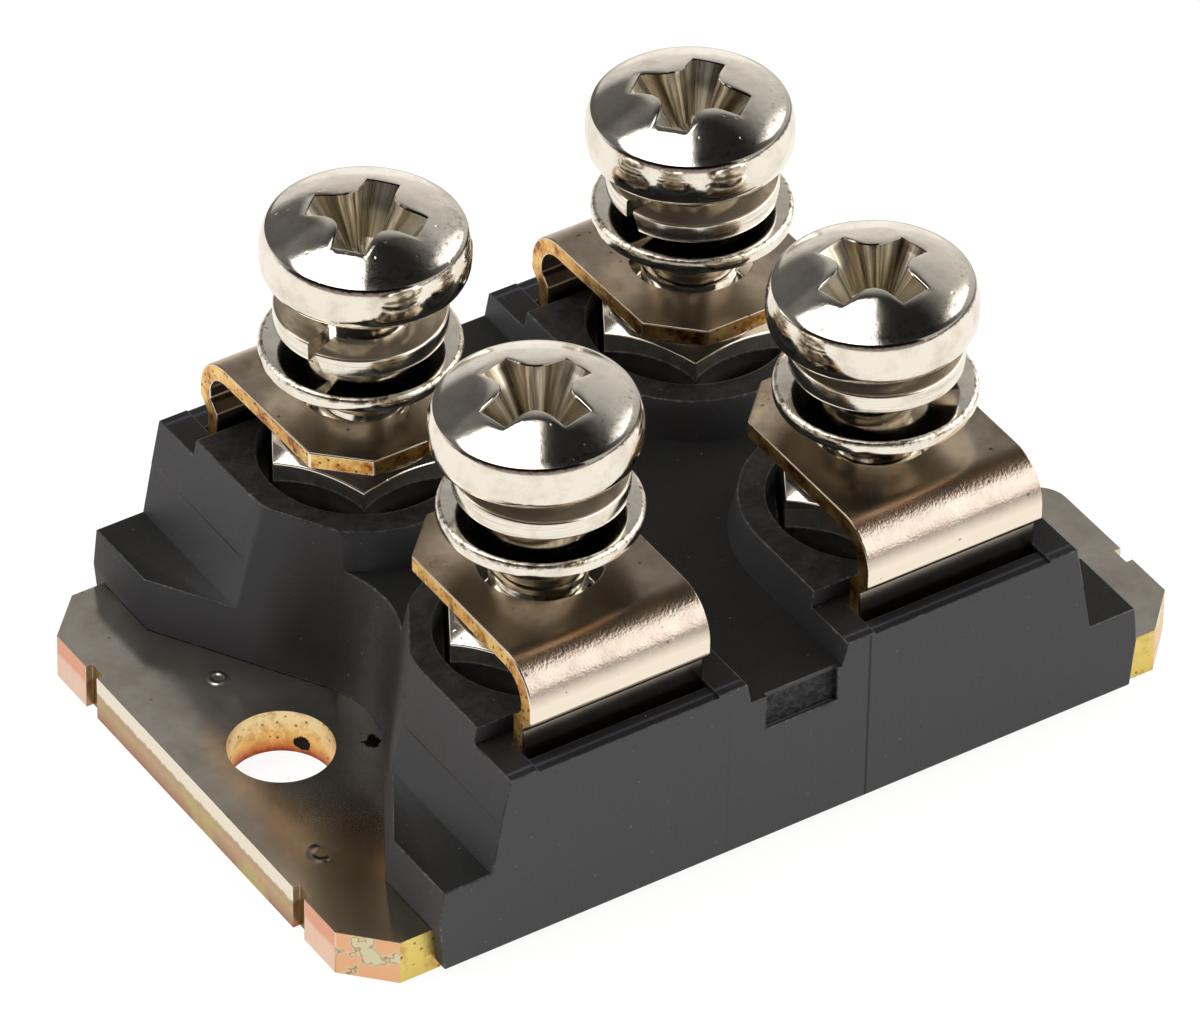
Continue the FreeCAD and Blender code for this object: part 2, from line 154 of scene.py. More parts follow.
class StudioSettings(bpy.types.PropertyGroup):
    """Camera and light."""

    distance: length("Distance", 412.291, "From the target to the camera")
    azimuth: turn("Azimuth", -33.535, "Camera's place round the part, from the front")
    elevation: turn("Elevation", 39.175, "Camera's height above the floor")
    roll: turn("Roll", 1.017, "Camera's roll")
    lens: FloatProperty(name="Lens", description="Focal length of the camera", default=321.82, min=1.0,
                        unit="CAMERA")
    overhead: FloatProperty(name="Overhead", description="Strength of the overhead panel", default=2.7,
                            min=0.0)
    side: FloatProperty(name="Side", description="Strength of the right-hand panel", default=2.4, min=0.0)


class DiodeModule(bpy.types.PropertyGroup):
    """All sizes and colours of the visual model."""

    block: PointerProperty(type=BlockSizes)
    terminals: PointerProperty(type=TerminalSizes)
    fasteners: PointerProperty(type=FastenerSizes)
    studio: PointerProperty(type=StudioSettings)


class Net:
    """Adds nodes to a tree in short form; lengths in material nodes are millimetres."""

    def __init__(self, tree):
        self.tree = tree

    def add(self, kind, inputs=None, **settings):
        made = self.tree.nodes.new(kind)
        for name, value in settings.items():
            setattr(made, name, value)
        for name, value in (inputs or {}).items():
            if isinstance(value, bpy.types.NodeSocket):
                self.tree.links.new(value, made.inputs[name])
            else:
                made.inputs[name].default_value = value
        return made

    def math(self, operation, first, second=0.0, clamp=False):
        made = self.add("ShaderNodeMath", {0: first, 1: second}, operation=operation, use_clamp=clamp)
        return made.outputs[0]

    def sum(self, first, second):
        return self.math("ADD", first, second)

    def less(self, first, second):
        return self.math("SUBTRACT", first, second)

    def size(self, value):
        return self.math("ABSOLUTE", value)

    def vector_math(self, operation, first, second=(0.0, 0.0, 0.0), output=0):
        return self.add("ShaderNodeVectorMath", {0: first, 1: second}, operation=operation).outputs[output]

    def product(self, *factors):
        result = factors[0]
        for factor in factors[1:]:
            result = self.math("MULTIPLY", result, factor)
        return result

    def span(self, value, low, high):
        """0 at low, 1 at high, clamped; high may be below low."""
        return self.add("ShaderNodeMapRange", {0: value, 1: low, 2: high, 3: 0.0, 4: 1.0}).outputs[0]

    def inside(self, value, low, high, soft):
        """1 between low and high, falling to 0 over soft."""
        rise = self.span(value, low - soft, low + soft)
        fall = self.span(value, high + soft, high - soft)
        return self.math("MULTIPLY", rise, fall)

    def stretched(self, vector, scale, shift=(0.0, 0.0, 0.0)):
        return self.add("ShaderNodeMapping", {"Vector": vector, "Scale": scale, "Location": shift}).outputs[0]

    def noise(self, vector, scale, detail=3.0, rough=0.5):
        return self.add("ShaderNodeTexNoise", {"Vector": vector, "Scale": scale, "Detail": detail,
                                               "Roughness": rough}).outputs["Fac"]

    def specks(self, vector, scale, size, share):
        """Sparse small spots: size as a part of the cell, share of the cells that hold one."""
        cells = self.add("ShaderNodeTexVoronoi", {"Vector": vector, "Scale": scale})
        spot = self.span(cells.outputs["Distance"], size, size * 0.5)
        chosen = self.add("ShaderNodeSeparateColor", {0: cells.outputs["Color"]}).outputs[0]
        return self.math("MULTIPLY", spot, self.math("LESS_THAN", chosen, share))

    def mix(self, factor, first, second):
        made = self.add("ShaderNodeMix", {0: factor}, data_type="RGBA")
        for index, value in ((6, first), (7, second)):
            if isinstance(value, bpy.types.NodeSocket):
                self.tree.links.new(value, made.inputs[index])
            else:
                made.inputs[index].default_value = (*value[:3], 1.0)
        return made.outputs[2]

    def ramp(self, value, *stops):
        """Colour ramp through (position, colour) stops."""
        made = self.add("ShaderNodeValToRGB", {0: value})
        points = made.color_ramp.elements
        while len(points) < len(stops):
            points.new(0.5)
        for point, (position, colour) in zip(points, stops):
            point.position = position
            point.color = (*colour, 1.0)
        return made.outputs[0]

    def bump(self, height, strength, distance, normal=None):
        inputs = {"Height": height, "Strength": strength, "Distance": distance * MM}
        if normal is not None:
            inputs["Normal"] = normal
        return self.add("ShaderNodeBump", inputs).outputs[0]

    def away(self, vector, x, y):
        """Distance from an upright axis at x, y."""
        level = self.stretched(vector, (1.0, 1.0, 0.0))
        return self.vector_math("DISTANCE", level, (x, y, 0.0), "Value")

    def from_axis(self, vector):
        """Level way out from the nearest screw's axis, with the four stations folded into one."""
        folded = self.vector_math("ABSOLUTE", vector)
        apart = self.vector_math("SUBTRACT", folded, tuple(axis_of("rear_right") / MM))
        return self.vector_math("MULTIPLY", apart, (1.0, 1.0, 0.0))

    def place(self):
        """Place on the object in millimetres: the vector and its three parts."""
        spot = self.add("ShaderNodeTexCoord").outputs["Object"]
        scaled = self.stretched(spot, (1 / MM, 1 / MM, 1 / MM))
        parts = self.add("ShaderNodeSeparateXYZ", {0: scaled}).outputs
        return scaled, parts[0], parts[1], parts[2]

    def facing(self):
        """Parts of the surface direction in the object's frame."""
        direction = self.add("ShaderNodeTexCoord").outputs["Normal"]
        return self.add("ShaderNodeSeparateXYZ", {0: direction}).outputs


def set_constants(shader, constants):
    """Sets values on the shader's own sockets."""
    for name, value in constants.items():
        shader.inputs[name].default_value = value


def new_finish(name):
    """Material with a principled shader and its output."""
    material = bpy.data.materials.new(name)
    material.use_nodes = True
    tree = material.node_tree
    tree.nodes.clear()
    net = Net(tree)
    shader = net.add("ShaderNodeBsdfPrincipled")
    net.add("ShaderNodeOutputMaterial", {0: shader.outputs[0]})
    return material, net, shader


def drive(net, shader, **sockets):
    """Links computed values to the shader's varying sockets."""
    names = {"colour": "Base Color", "rough": "Roughness", "metal": "Metallic", "normal": "Normal"}
    for key, value in sockets.items():
        net.tree.links.new(value, shader.inputs[names[key]])


def moulded_epoxy(net, shader, sizes):
    """Black moulding compound: satin, draw marks on the walls, pits, dust on top; the walls painted lighter as
    painted light, painted shade in the concave wall round the fixing hole and in the pits, and a painted
    highlight along the ledges' lip.
    """
    set_constants(shader, {"IOR": 1.46, "Specular IOR Level": 0.4})
    place, x, y, z = net.place()
    facing = net.facing()
    upward = net.span(facing[2], 0.6, 0.9)
    wall = net.less(1.0, upward)
    cloud = net.noise(place, 0.55, 4.0, 0.6)
    fine = net.noise(place, 9.0, 4.0, 0.6)
    drawn = net.noise(net.stretched(place, (7.0, 7.0, 0.35)), 1.0, 3.0, 0.7)
    rim = net.math("MULTIPLY", upward, net.span(z, 8.9, 9.0))
    base = net.mix(cloud, [c * 0.7 for c in sizes.epoxy], [c * 1.5 for c in sizes.epoxy])
    # Painted shade in the concave wall round the fixing hole.
    bowl_shade = net.product(wall, net.span(net.away(place, -15.1, 0.0), 5.2, 4.4), net.span(z, 1.0, 3.5))
    # Painted light: the walls painted lighter than the tops, then the painted shade of the concave wall laid
    # over them.
    lit_wall = net.mix(net.product(wall, 0.8), base, linear(71, 72, 76))
    lit_wall = net.mix(net.product(bowl_shade, 0.85), lit_wall, linear(18, 18, 19))
    # Painted highlight: a bluish line along the lip of the ledges beside the terminals.
    ledge = net.product(upward, net.inside(z, 8.0, 8.6, 0.02))
    lip = net.product(ledge, net.inside(net.size(y), 12.2, 12.32, 0.05))
    lit_ledge = net.mix(net.product(lip, 0.6), lit_wall, linear(74, 80, 96))
    veil = net.product(rim, net.span(net.noise(place, 1.6, 5.0, 0.7), 0.4, 0.75), 0.16)
    veiled = net.mix(veil, lit_ledge, sizes.dust)
    grain = net.specks(place, 3.1, 0.16, 0.09)
    dusty = net.mix(net.product(grain, 0.55), veiled, sizes.dust)
    crumbs = net.specks(net.stretched(place, (1.0, 1.0, 1.0), (3.3, 1.7, 0.4)), 7.0, 0.2, 0.05)
    flecked = net.mix(net.product(crumbs, 0.45, net.span(cloud, 0.45, 0.6)), dusty, sizes.dust)
    # Painted shade: the pits painted darker; the bump further down gives their dents.
    pits = net.product(net.specks(net.stretched(place, (1.0, 1.0, 0.45)), 5.0, 0.13, 0.1), wall)
    pit_shaded = net.mix(pits, flecked, linear(12, 12, 12))
    front = net.product(net.span(y, -12.4, -12.6), wall)
    seam_right = net.product(front, net.inside(x, 3.26, 3.36, 0.03))
    seam_left = net.product(front, net.inside(x, -3.05, -3.04, 0.02), net.span(drawn, 0.35, 0.55), 0.6)
    seams = net.math("MAXIMUM", seam_right, seam_left)
    lined = net.mix(net.product(seams, 0.9), pit_shaded, linear(10, 10, 10))
    relief = net.less(fine, net.product(pits, 2.0))
    marks = net.bump(net.product(drawn, wall), 0.12, 0.05)
    skin = net.bump(relief, 0.12, 0.02, marks)
    torn = net.noise(place, 3.4, 5.0, 0.75)
    gate = net.product(net.inside(x, -1.4, 1.9, 0.03), net.span(y, -12.1, -12.2), net.span(z, 5.75, 5.85),
                       net.span(z, 7.2, 7.1))
    lined = net.mix(net.product(gate, net.span(torn, 0.42, 0.56), 0.9), lined, linear(9, 9, 9))
    broken = net.bump(net.product(torn, gate), 1.0, 0.3, skin)
    rough = net.span(net.sum(fine, net.product(upward, 0.25)), -1.0, 1.75)
    drive(net, shader, colour=lined, rough=rough, normal=broken)


def worn_epoxy_with_painted_highlight(net, shader, sizes):
    """Edges of the moulding, rubbed a little paler and painted paler still as a painted highlight, with nicks.
    """
    set_constants(shader, {"IOR": 1.5, "Specular IOR Level": 0.5})
    place = net.place()[0]
    nicks = net.noise(place, 3.2, 6.0, 0.75)
    # Wear and painted highlight: the paler stops stand for light caught on the rounded edges.
    colour = net.ramp(nicks, (0.35, linear(24, 24, 25)), (0.52, linear(52, 53, 57)),
                      (0.7, linear(116, 118, 124)))
    rough = net.span(nicks, -0.2, 1.6)
    normal = net.bump(nicks, 0.5, 0.05)
    drive(net, shader, colour=colour, rough=rough, normal=normal)


def plate_nickel(net, shader, sizes):
    """Satin nickel on the plate: rolling marks, scratches, stains near the block, and painted shade towards
    the front left.
    """
    place, x, y, z = net.place()
    rolled = net.noise(net.stretched(place, (0.5, 9.0, 9.0)), 1.0, 4.0, 0.6)
    scratch_space = net.stretched(net.add("ShaderNodeVectorRotate", {"Vector": place, "Angle": 0.7},
                                          rotation_type="Z_AXIS").outputs[0], (0.25, 14.0, 1.0))
    scratches = net.span(net.noise(scratch_space, 1.0, 5.0, 0.8), 0.6, 0.72)
    stain = net.noise(place, 0.5, 5.0, 0.65)
    base = net.mix(net.span(stain, 0.35, 0.75), sizes.plating, linear(168, 160, 150))
    streaks = net.noise(net.stretched(place, (3.2, 0.5, 1.0)), 1.0, 4.0, 0.7)
    brushed = net.product(net.inside(x, -15.0, -12.5, 0.8), net.span(y, 1.0, -3.0),
                          net.span(streaks, 0.45, 0.6))
    # Painted shade: the front left of the plate painted darker.
    front_painted_shade = net.product(net.span(y, -1.5, -6.5), net.span(x, -10.0, -12.0), 0.6)
    base = net.mix(front_painted_shade, base, linear(150, 136, 116))
    warmed = net.mix(net.product(brushed, 0.35), base, linear(172, 132, 92))
    spots = net.specks(place, 1.9, 0.14, 0.07)
    ragged = net.product(net.less(net.noise(place, 3.0, 3.0), 0.5), 1.1)
    crumb = net.span(net.sum(net.away(place, -11.98, -1.56), ragged), 0.36, 0.32)
    spots = net.math("MAXIMUM", net.product(spots, 0.6), crumb)
    spotted = net.mix(spots, warmed, linear(44, 38, 33))
    rough = net.sum(net.product(rolled, 0.08), 0.12)
    ring = net.inside(net.away(place, -15.06, 4.77), 0.22, 0.38, 0.06)
    crescent = net.product(net.inside(net.away(place, -17.06, -6.07), 0.3, 0.5, 0.08),
                           net.span(x, -16.9, -17.1))
    skin = net.bump(net.sum(ring, crescent), 0.5, 0.06, net.bump(rolled, 0.015, 0.02))
    scored = net.bump(scratches, 0.05, 0.02, skin)
    grain = net.bump(net.noise(place, 14.0, 3.0), 0.03, 0.02, scored)
    drive(net, shader, colour=spotted, rough=rough, normal=grain)
    set_constants(shader, {"Metallic": 1.0})


def sheared_end(net, shader, sizes):
    """End of the plate: rolled top band, mauve-brown break, bare copper tabs."""
    place, x, y, z = net.place()
    streaks = net.noise(net.stretched(place, (3.0, 3.0, 0.6)), 1.0, 5.0, 0.7)
    ragged = net.sum(z, net.product(net.less(streaks, 0.5), 0.5))
    across = net.size(y)
    tab = net.inside(across, 8.02, 10.18, 0.03)
    notch = net.inside(across, 7.22, 7.98, 0.03)
    corner = net.span(across, 10.18, 10.24)
    middle_colour = net.ramp(net.math("MULTIPLY", ragged, 0.5), (0.0, linear(160, 84, 60)),
                             (0.08, linear(164, 126, 98)), (0.4, linear(188, 158, 122)),
                             (0.6, linear(178, 152, 120)), (0.66, linear(236, 229, 214)))
    green = net.product(net.span(net.noise(place, 0.6, 3.0), 0.5, 0.65), net.span(ragged, 1.4, 1.0), 0.6)
    patched = net.mix(green, middle_colour, linear(186, 180, 104))
    copper = net.mix(net.span(ragged, 1.1, 1.3), linear(232, 198, 178), sizes.copper)
    olive = net.mix(streaks, linear(140, 118, 60), linear(96, 78, 40))
    cloud = net.noise(net.stretched(place, (1.0, 1.0, 1.0), (0.0, 2.2, 0.9)), 0.7, 3.0)
    patches = net.mix(net.span(cloud, 0.46, 0.5), linear(214, 208, 176), linear(230, 180, 138))
    corner_colour = net.mix(net.inside(cloud, 0.452, 0.462, 0.008), patches, linear(146, 96, 44))
    notched = net.mix(notch, patched, olive)
    tabbed = net.mix(tab, notched, copper)
    cornered = net.mix(corner, tabbed, corner_colour)
    rough = net.sum(net.product(streaks, 0.3), 0.22)
    normal = net.bump(streaks, 0.35, 0.05)
    drive(net, shader, colour=cornered, rough=rough, normal=normal)
    set_constants(shader, {"Metallic": 0.9})


def drilled_wall(net, shader, sizes):
    """Walls of the plate's hole and slot and its long sides: thin golden plating over copper."""
    place, x, y, z = net.place()
    streaks = net.noise(net.stretched(place, (2.5, 2.5, 1.2)), 1.0, 5.0, 0.7)
    height = net.sum(net.math("MULTIPLY", z, 0.5), net.product(net.less(streaks, 0.5), 0.25))
    colour = net.ramp(height, (0.04, linear(150, 66, 48)), (0.16, linear(208, 128, 70)),
                      (0.4, linear(240, 196, 120)), (0.85, linear(248, 228, 176)))
    long_side = net.span(net.size(y), 11.8, 11.9)
    colour = net.mix(net.product(long_side, 0.9), colour, linear(220, 200, 112))
    patches = net.span(net.noise(place, 1.7, 4.0, 0.65), 0.52, 0.66)
    colour = net.mix(net.product(patches, 0.5), colour, linear(176, 118, 58))
    spots = net.specks(place, 3.6, 0.3, 0.25)
    spotted = net.mix(net.product(spots, 0.8), colour, linear(52, 38, 24))
    blob_at = net.vector_math("DISTANCE", place, (-13.42, 1.23, 0.5), "Value")
    blob = net.span(net.sum(blob_at, net.product(net.less(streaks, 0.5), 0.5)), 0.38, 0.34)
    spotted = net.mix(blob, spotted, linear(26, 20, 16))
    rough = net.sum(net.product(streaks, 0.25), 0.25)
    normal = net.bump(streaks, 0.3, 0.05)
    drive(net, shader, colour=spotted, rough=rough, normal=normal)
    set_constants(shader, {"Metallic": 0.95})


def strip_nickel(net, shader, sizes):
    """Plated strip: satin and scratched on the tab, stretched and pebbly round the bend; upright faces painted
    cream as a painted reflection, the leg below the fold painted dark as painted shade and reflection, and a
    dark brown band along the fold.
    """
    place, x, y, z = net.place()
    out = net.size(y)
    bend = net.product(net.span(out, 10.4, 11.2), net.span(z, 10.1, 10.9))
    cloud = net.noise(place, 0.7, 5.0, 0.65)
    streaks = net.noise(net.stretched(place, (0.5, 6.0, 6.0)), 1.0, 5.0, 0.7)
    tab = net.mix(net.span(cloud, 0.35, 0.7), sizes.plating, linear(140, 126, 108))
    gold_band = net.product(net.inside(out, 10.55, 11.15, 0.15), net.span(z, 11.0, 11.6),
                            net.span(streaks, 0.3, 0.6))
    banded = net.mix(net.product(gold_band, 0.85), tab, linear(176, 128, 68))
    mauve = net.mix(net.product(bend, 0.35), banded, linear(206, 194, 188))
    # Painted reflection: upright faces painted cream, for the bright floor that they mirror.
    upright = net.span(net.facing()[2], 0.42, 0.08)
    mauve = net.mix(upright, mauve, linear(240, 229, 214))
    fold = net.inside(net.sum(z, net.product(net.less(streaks, 0.5), 0.1)), 9.98, 10.12, 0.03)
    # Painted shade and reflection: the leg below the fold painted dark, for the dark ledge it faces.
    leg = net.product(upright, net.span(z, 9.95, 9.1), 0.85)
    mauve = net.mix(leg, mauve, linear(44, 36, 32))
    # A dark brown band along the fold.
    fold_banded = net.mix(net.product(fold, 0.8), mauve, linear(74, 54, 40))
    spots = net.specks(place, 2.2, 0.2, 0.1)
    spotted = net.mix(net.product(spots, 0.8), fold_banded, linear(56, 48, 40))
    rough = net.sum(net.product(cloud, 0.16), 0.16)
    rolled = net.bump(streaks, 0.08, 0.02)
    pebbles = net.bump(net.product(net.noise(place, 9.0, 2.0), bend), 0.35, 0.04, rolled)
    grain = net.bump(net.noise(place, 11.0, 3.0), 0.07, 0.02, pebbles)
    drive(net, shader, colour=spotted, rough=rough, normal=grain)
    set_constants(shader, {"Metallic": 1.0})


def strip_edge(net, shader, sizes):
    """Cut edges of the strip: golden, with orange patches and black specks."""
    place = net.place()[0]
    cloud = net.noise(place, 1.1, 5.0, 0.7)
    colour = net.ramp(cloud, (0.36, linear(140, 72, 26)), (0.48, sizes.cut_edge),
                      (0.62, linear(240, 206, 132)))
    specks = net.specks(place, 3.8, 0.3, 0.3)
    specked = net.mix(net.product(specks, 0.85), colour, linear(34, 24, 16))
    rough = net.sum(net.product(cloud, 0.3), 0.18)
    normal = net.bump(net.noise(place, 5.0, 4.0), 0.3, 0.04)
    drive(net, shader, colour=specked, rough=rough, normal=normal)
    set_constants(shader, {"Metallic": 1.0})


def bright_nickel(net, shader, sizes):
    """Bright plating of screws, nuts and flat washers, with fine dents, dull patches and a painted dark
    reflection on the front of the heads' shoulders.
    """
    place, x, y, z = net.place()
    cloud = net.noise(place, 0.9, 4.0, 0.6)
    colour = net.mix(net.span(cloud, 0.45, 0.8), sizes.plating, linear(206, 199, 186))
    facing = net.facing()
    # Painted reflection: a ragged dark band on the heads' shoulders, on the side towards the front.
    torn = net.product(net.less(net.noise(place, 4.5, 5.0, 0.7), 0.5), 0.3)
    shoulder = net.product(net.inside(net.sum(facing[2], torn), 0.42, 0.88, 0.04),
                           net.span(z, 15.5, 16.0), net.span(facing[1], 0.1, -0.2))
    colour = net.mix(net.product(shoulder, 0.85), colour, linear(42, 32, 30))
    rough = net.sum(net.product(cloud, 0.1), 0.05)
    dents = net.specks(place, 2.6, 0.22, 0.12)
    ripple = net.bump(net.noise(place, 2.2, 2.0), 0.05, 0.06)
    dented = net.bump(net.less(1.0, dents), 0.3, 0.02, ripple)
    grain = net.bump(net.noise(place, 16.0, 3.0), 0.05, 0.02, dented)
    drive(net, shader, colour=colour, rough=rough, normal=grain)
    set_constants(shader, {"Metallic": 1.0})


def rolled_nickel(net, shader, sizes):
    """Rough rolled edges of heads and washers: bright and dark mottling."""
    place = net.place()[0]
    mottle = net.noise(place, 2.8, 5.0, 0.7)
    colour = net.ramp(mottle, (0.3, linear(70, 58, 44)), (0.42, linear(176, 164, 142)), (0.52, sizes.plating))
    rough = net.sum(net.product(mottle, 0.2), 0.12)
    normal = net.bump(mottle, 0.4, 0.08)
    drive(net, shader, colour=colour, rough=rough, normal=normal)
    set_constants(shader, {"Metallic": 1.0})


def punched_nickel(net, shader, sizes):
    """Walls of the cross recess: drawn down in stripes by the punch."""
    outward = net.from_axis(net.place()[0])
    direction = net.vector_math("NORMALIZE", outward)
    stripes = net.noise(direction, 5.0, 3.0, 0.55)
    colour = net.ramp(stripes, (0.36, linear(104, 92, 72)), (0.5, linear(190, 180, 158)),
                      (0.6, sizes.plating))
    rough = net.sum(net.product(stripes, 0.2), 0.18)
    normal = net.bump(stripes, 0.12, 0.05)
    drive(net, shader, colour=colour, rough=rough, normal=normal)
    set_constants(shader, {"Metallic": 0.82})


def drawn_wire(net, shader, sizes):
    """Spring washer: flat wire with lines along its wall and a brown-grey skin, laid all over the top faces
    and less metallic there, partly as painted light under the head; painted shade on the undersides.
    """
    place = net.place()[0]
    lines = net.noise(net.stretched(place, (0.22, 0.22, 9.0)), 1.0, 4.0, 0.7)
    cloud = net.noise(place, 1.0, 4.0, 0.6)
    level = net.facing()[2]
    upward = net.span(level, 0.5, 0.85)
    under = net.span(level, -0.5, -0.85)
    # Brown-grey skin in patches, and all over the top faces: there partly painted light, as the tops catch
    # light under the head.
    colour = net.mix(net.math("MAXIMUM", upward, net.product(net.span(cloud, 0.5, 0.8), 0.4)),
                     sizes.plating, sizes.draw_marks)
    lined = net.mix(net.product(net.span(lines, 0.5, 0.3), 0.5), colour, linear(132, 112, 92))
    # Painted shade: the undersides painted near black.
    lined = net.mix(under, lined, linear(26, 23, 20))
    rough = net.sum(net.product(cloud, 0.12), 0.1)
    normal = net.bump(lines, 0.1, 0.04)
    grain = net.bump(net.noise(place, 9.0, 3.0), 0.08, 0.03, normal)
    # The top faces less metallic, so that they catch light like the painted tops.
    metal = net.less(1.0, net.product(upward, 0.35))
    drive(net, shader, colour=lined, rough=rough, metal=metal, normal=grain)


def plain_finish(net, shader, colour, other, metal, rough_low, scale):
    """Finish for the sealed circuit: two colours in fine mottling."""
    set_constants(shader, {"Metallic": metal})
    place = net.place()[0]
    mottle = net.noise(place, scale, 4.0, 0.6)
    drive(net, shader, colour=net.mix(mottle, colour, other),
          rough=net.sum(net.product(mottle, 0.2), rough_low),
          normal=net.bump(mottle, 0.15, 0.03))


FINISHES = {
    "moulded_epoxy": (moulded_epoxy, "block"),
    "worn_epoxy_with_painted_highlight": (worn_epoxy_with_painted_highlight, "block"),
    "plate_nickel": (plate_nickel, "block"),
    "sheared_end": (sheared_end, "block"),
    "drilled_wall": (drilled_wall, "block"),
    "strip_nickel": (strip_nickel, "terminals"),
    "strip_edge": (strip_edge, "terminals"),
    "bright_nickel": (bright_nickel, "fasteners"),
    "rolled_nickel": (rolled_nickel, "fasteners"),
    "punched_nickel": (punched_nickel, "fasteners"),
    "drawn_wire": (drawn_wire, "fasteners"),
}

# Sealed circuit: first colour, second colour, metallic share, lowest roughness, scale of the mottling
PLAIN_FINISHES = {
    "bare_copper": (linear(214, 140, 104), linear(176, 96, 64), 1.0, 0.25, 2.0),
    "fired_ceramic": (linear(236, 234, 226), linear(214, 212, 204), 0.0, 0.5, 4.0),
    "silicon": (linear(92, 96, 108), linear(64, 66, 76), 0.8, 0.12, 1.0),
    "dull_solder": (linear(176, 176, 178), linear(136, 136, 140), 1.0, 0.35, 5.0),
}


def finish_of(context, name):
    """The named finish, made once."""
    found = bpy.data.materials.get(name)
    if found:
        return found
    material, net, shader = new_finish(name)
    if name in PLAIN_FINISHES:
        plain_finish(net, shader, *PLAIN_FINISHES[name])
    else:
        maker, group = FINISHES[name]
        maker(net, shader, getattr(context.scene.diode_module, group))
    return material


def finishes_of(context, *names):
    return [finish_of(context, name) for name in names]


def axis_of(station):
    """The screw axis of a station, from its nut."""
    low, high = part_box("nut_" + station)
    return Vector(((low.x + high.x) / 2, (low.y + high.y) / 2, 0.0))


def merged_copy(node):
    """The node's mesh as a new bmesh, with doubles merged and flat areas joined."""
    made = bmesh.new()
    made.from_mesh(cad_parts[node].data)
    bmesh.ops.remove_doubles(made, verts=made.verts, dist=0.001 * MM)
    bmesh.ops.recalc_face_normals(made, faces=made.faces)
    bmesh.ops.dissolve_limit(made, angle_limit=math.radians(0.6), verts=made.verts, edges=made.edges)
    return made


def skin(made, rings, finish=0):
    """Faces between rings of the same number of vertices; a ring of one vertex is a pole."""
    for lower, upper in zip(rings, rings[1:]):
        count = max(len(lower), len(upper))
        for i in range(count):
            j = (i + 1) % count
            if len(lower) == 1:
                corners = [lower[0], upper[j], upper[i]]
            elif len(upper) == 1:
                corners = [lower[i], lower[j], upper[0]]
            else:
                corners = [lower[i], lower[j], upper[j], upper[i]]
            face = made.faces.new(corners)
            face.material_index = finish


def ring(made, angles, radius, height):
    return [made.verts.new((radius * math.cos(a), radius * math.sin(a), height)) for a in angles]


def full_circle(steps):
    return [2 * math.pi * i / steps for i in range(steps)]


def make_object(made, name, finishes, smooth_below=35.0):
    """Object at the origin from a bmesh, shaded smooth below an angle."""
    bmesh.ops.recalc_face_normals(made, faces=made.faces)
    mesh = bpy.data.meshes.new(name)
    for face in made.faces:
        face.smooth = True
    made.to_mesh(mesh)
    made.free()
    mesh.set_sharp_from_angle(angle=math.radians(smooth_below))
    for finish in finishes:
        mesh.materials.append(finish)
    piece = bpy.data.objects.new(name, mesh)
    bpy.context.scene.collection.objects.link(piece)
    return piece


def settle(piece):
    """Applies the modifiers and leaves a plain mesh."""
    graph = bpy.context.evaluated_depsgraph_get()
    mesh = bpy.data.meshes.new_from_object(piece.evaluated_get(graph))
    piece.modifiers.clear()
    old = piece.data
    piece.data = mesh
    bpy.data.meshes.remove(old)
    return piece


def round_edges(piece, width, angle, finish=-1):
    """Rounds the edges sharper than the angle."""
    rounding = piece.modifiers.new("rounding", "BEVEL")
    rounding.width = width
    rounding.segments = 2
    rounding.limit_method = "ANGLE"
    rounding.angle_limit = math.radians(angle)
    rounding.use_clamp_overlap = True
    rounding.material = finish
    rounding.miter_outer = "MITER_ARC"
    rounding.harden_normals = True
    return settle(piece)


def carry(piece, body, slot, *nodes):
    """The piece rides on its body and stands for the nodes; the slot is not used."""
    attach(piece, body)
    if nodes:
        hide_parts(*nodes)
    return piece


def set_input(modifier, name, value):
    """Sets a geometry nodes input by its identifier."""
    for item in modifier.node_group.interface.items_tree:
        if item.item_type == "SOCKET" and item.in_out == "INPUT" and item.name == name:
            modifier[item.identifier] = value
            return
    raise ValueError("there is no input named " + name)


def new_rule(name, lengths):
    """Geometry nodes tree with named length inputs, a material input and one output."""
    tree = bpy.data.node_groups.new(name, "GeometryNodeTree")
    tree.is_modifier = True
    tree.interface.new_socket(name="Geometry", in_out="INPUT", socket_type="NodeSocketGeometry")
    for label in lengths:
        tree.interface.new_socket(name=label, in_out="INPUT", socket_type="NodeSocketFloat")
    tree.interface.new_socket(name="Finish", in_out="INPUT", socket_type="NodeSocketMaterial")
    tree.interface.new_socket(name="Geometry", in_out="OUTPUT", socket_type="NodeSocketGeometry")
    net = Net(tree)
    return tree, net, net.add("NodeGroupInput").outputs


def close_rule(net, geometry, finish):
    """Realizes, gives the finish and ends the tree."""
    real = net.add("GeometryNodeRealizeInstances", {0: geometry}).outputs[0]
    dressed = net.add("GeometryNodeSetMaterial", {"Geometry": real, "Material": finish}).outputs[0]
    end = net.add("NodeGroupOutput")
    net.tree.links.new(dressed, end.inputs[0])


def run_rule(tree, values, name):
    """Mesh that a tree gives for the values."""
    holder = bpy.data.objects.new(name, bpy.data.meshes.new(name))
    bpy.context.scene.collection.objects.link(holder)
    modifier = holder.modifiers.new("rule", "NODES")
    modifier.node_group = tree
    for label, value in values.items():
        set_input(modifier, label, value)
    mesh = settle(holder).data
    bpy.data.objects.remove(holder)
    return mesh


def sweep_up(net, section, finish, steps, turns, radius, height):
    """Sweeps a section up a spiral with steps per turn and ends the tree."""
    spiral = net.add("GeometryNodeCurveSpiral", {
        "Resolution": steps, "Rotations": turns, "Start Radius": radius, "End Radius": radius,
        "Height": height})
    upright = net.add("GeometryNodeSetCurveNormal", {"Curve": spiral.outputs[0]}, mode="Z_UP").outputs[0]
    swept = net.add("GeometryNodeCurveToMesh", {"Curve": upright, "Profile Curve": section,
                                                "Fill Caps": True})
    close_rule(net, swept.outputs[0], finish)


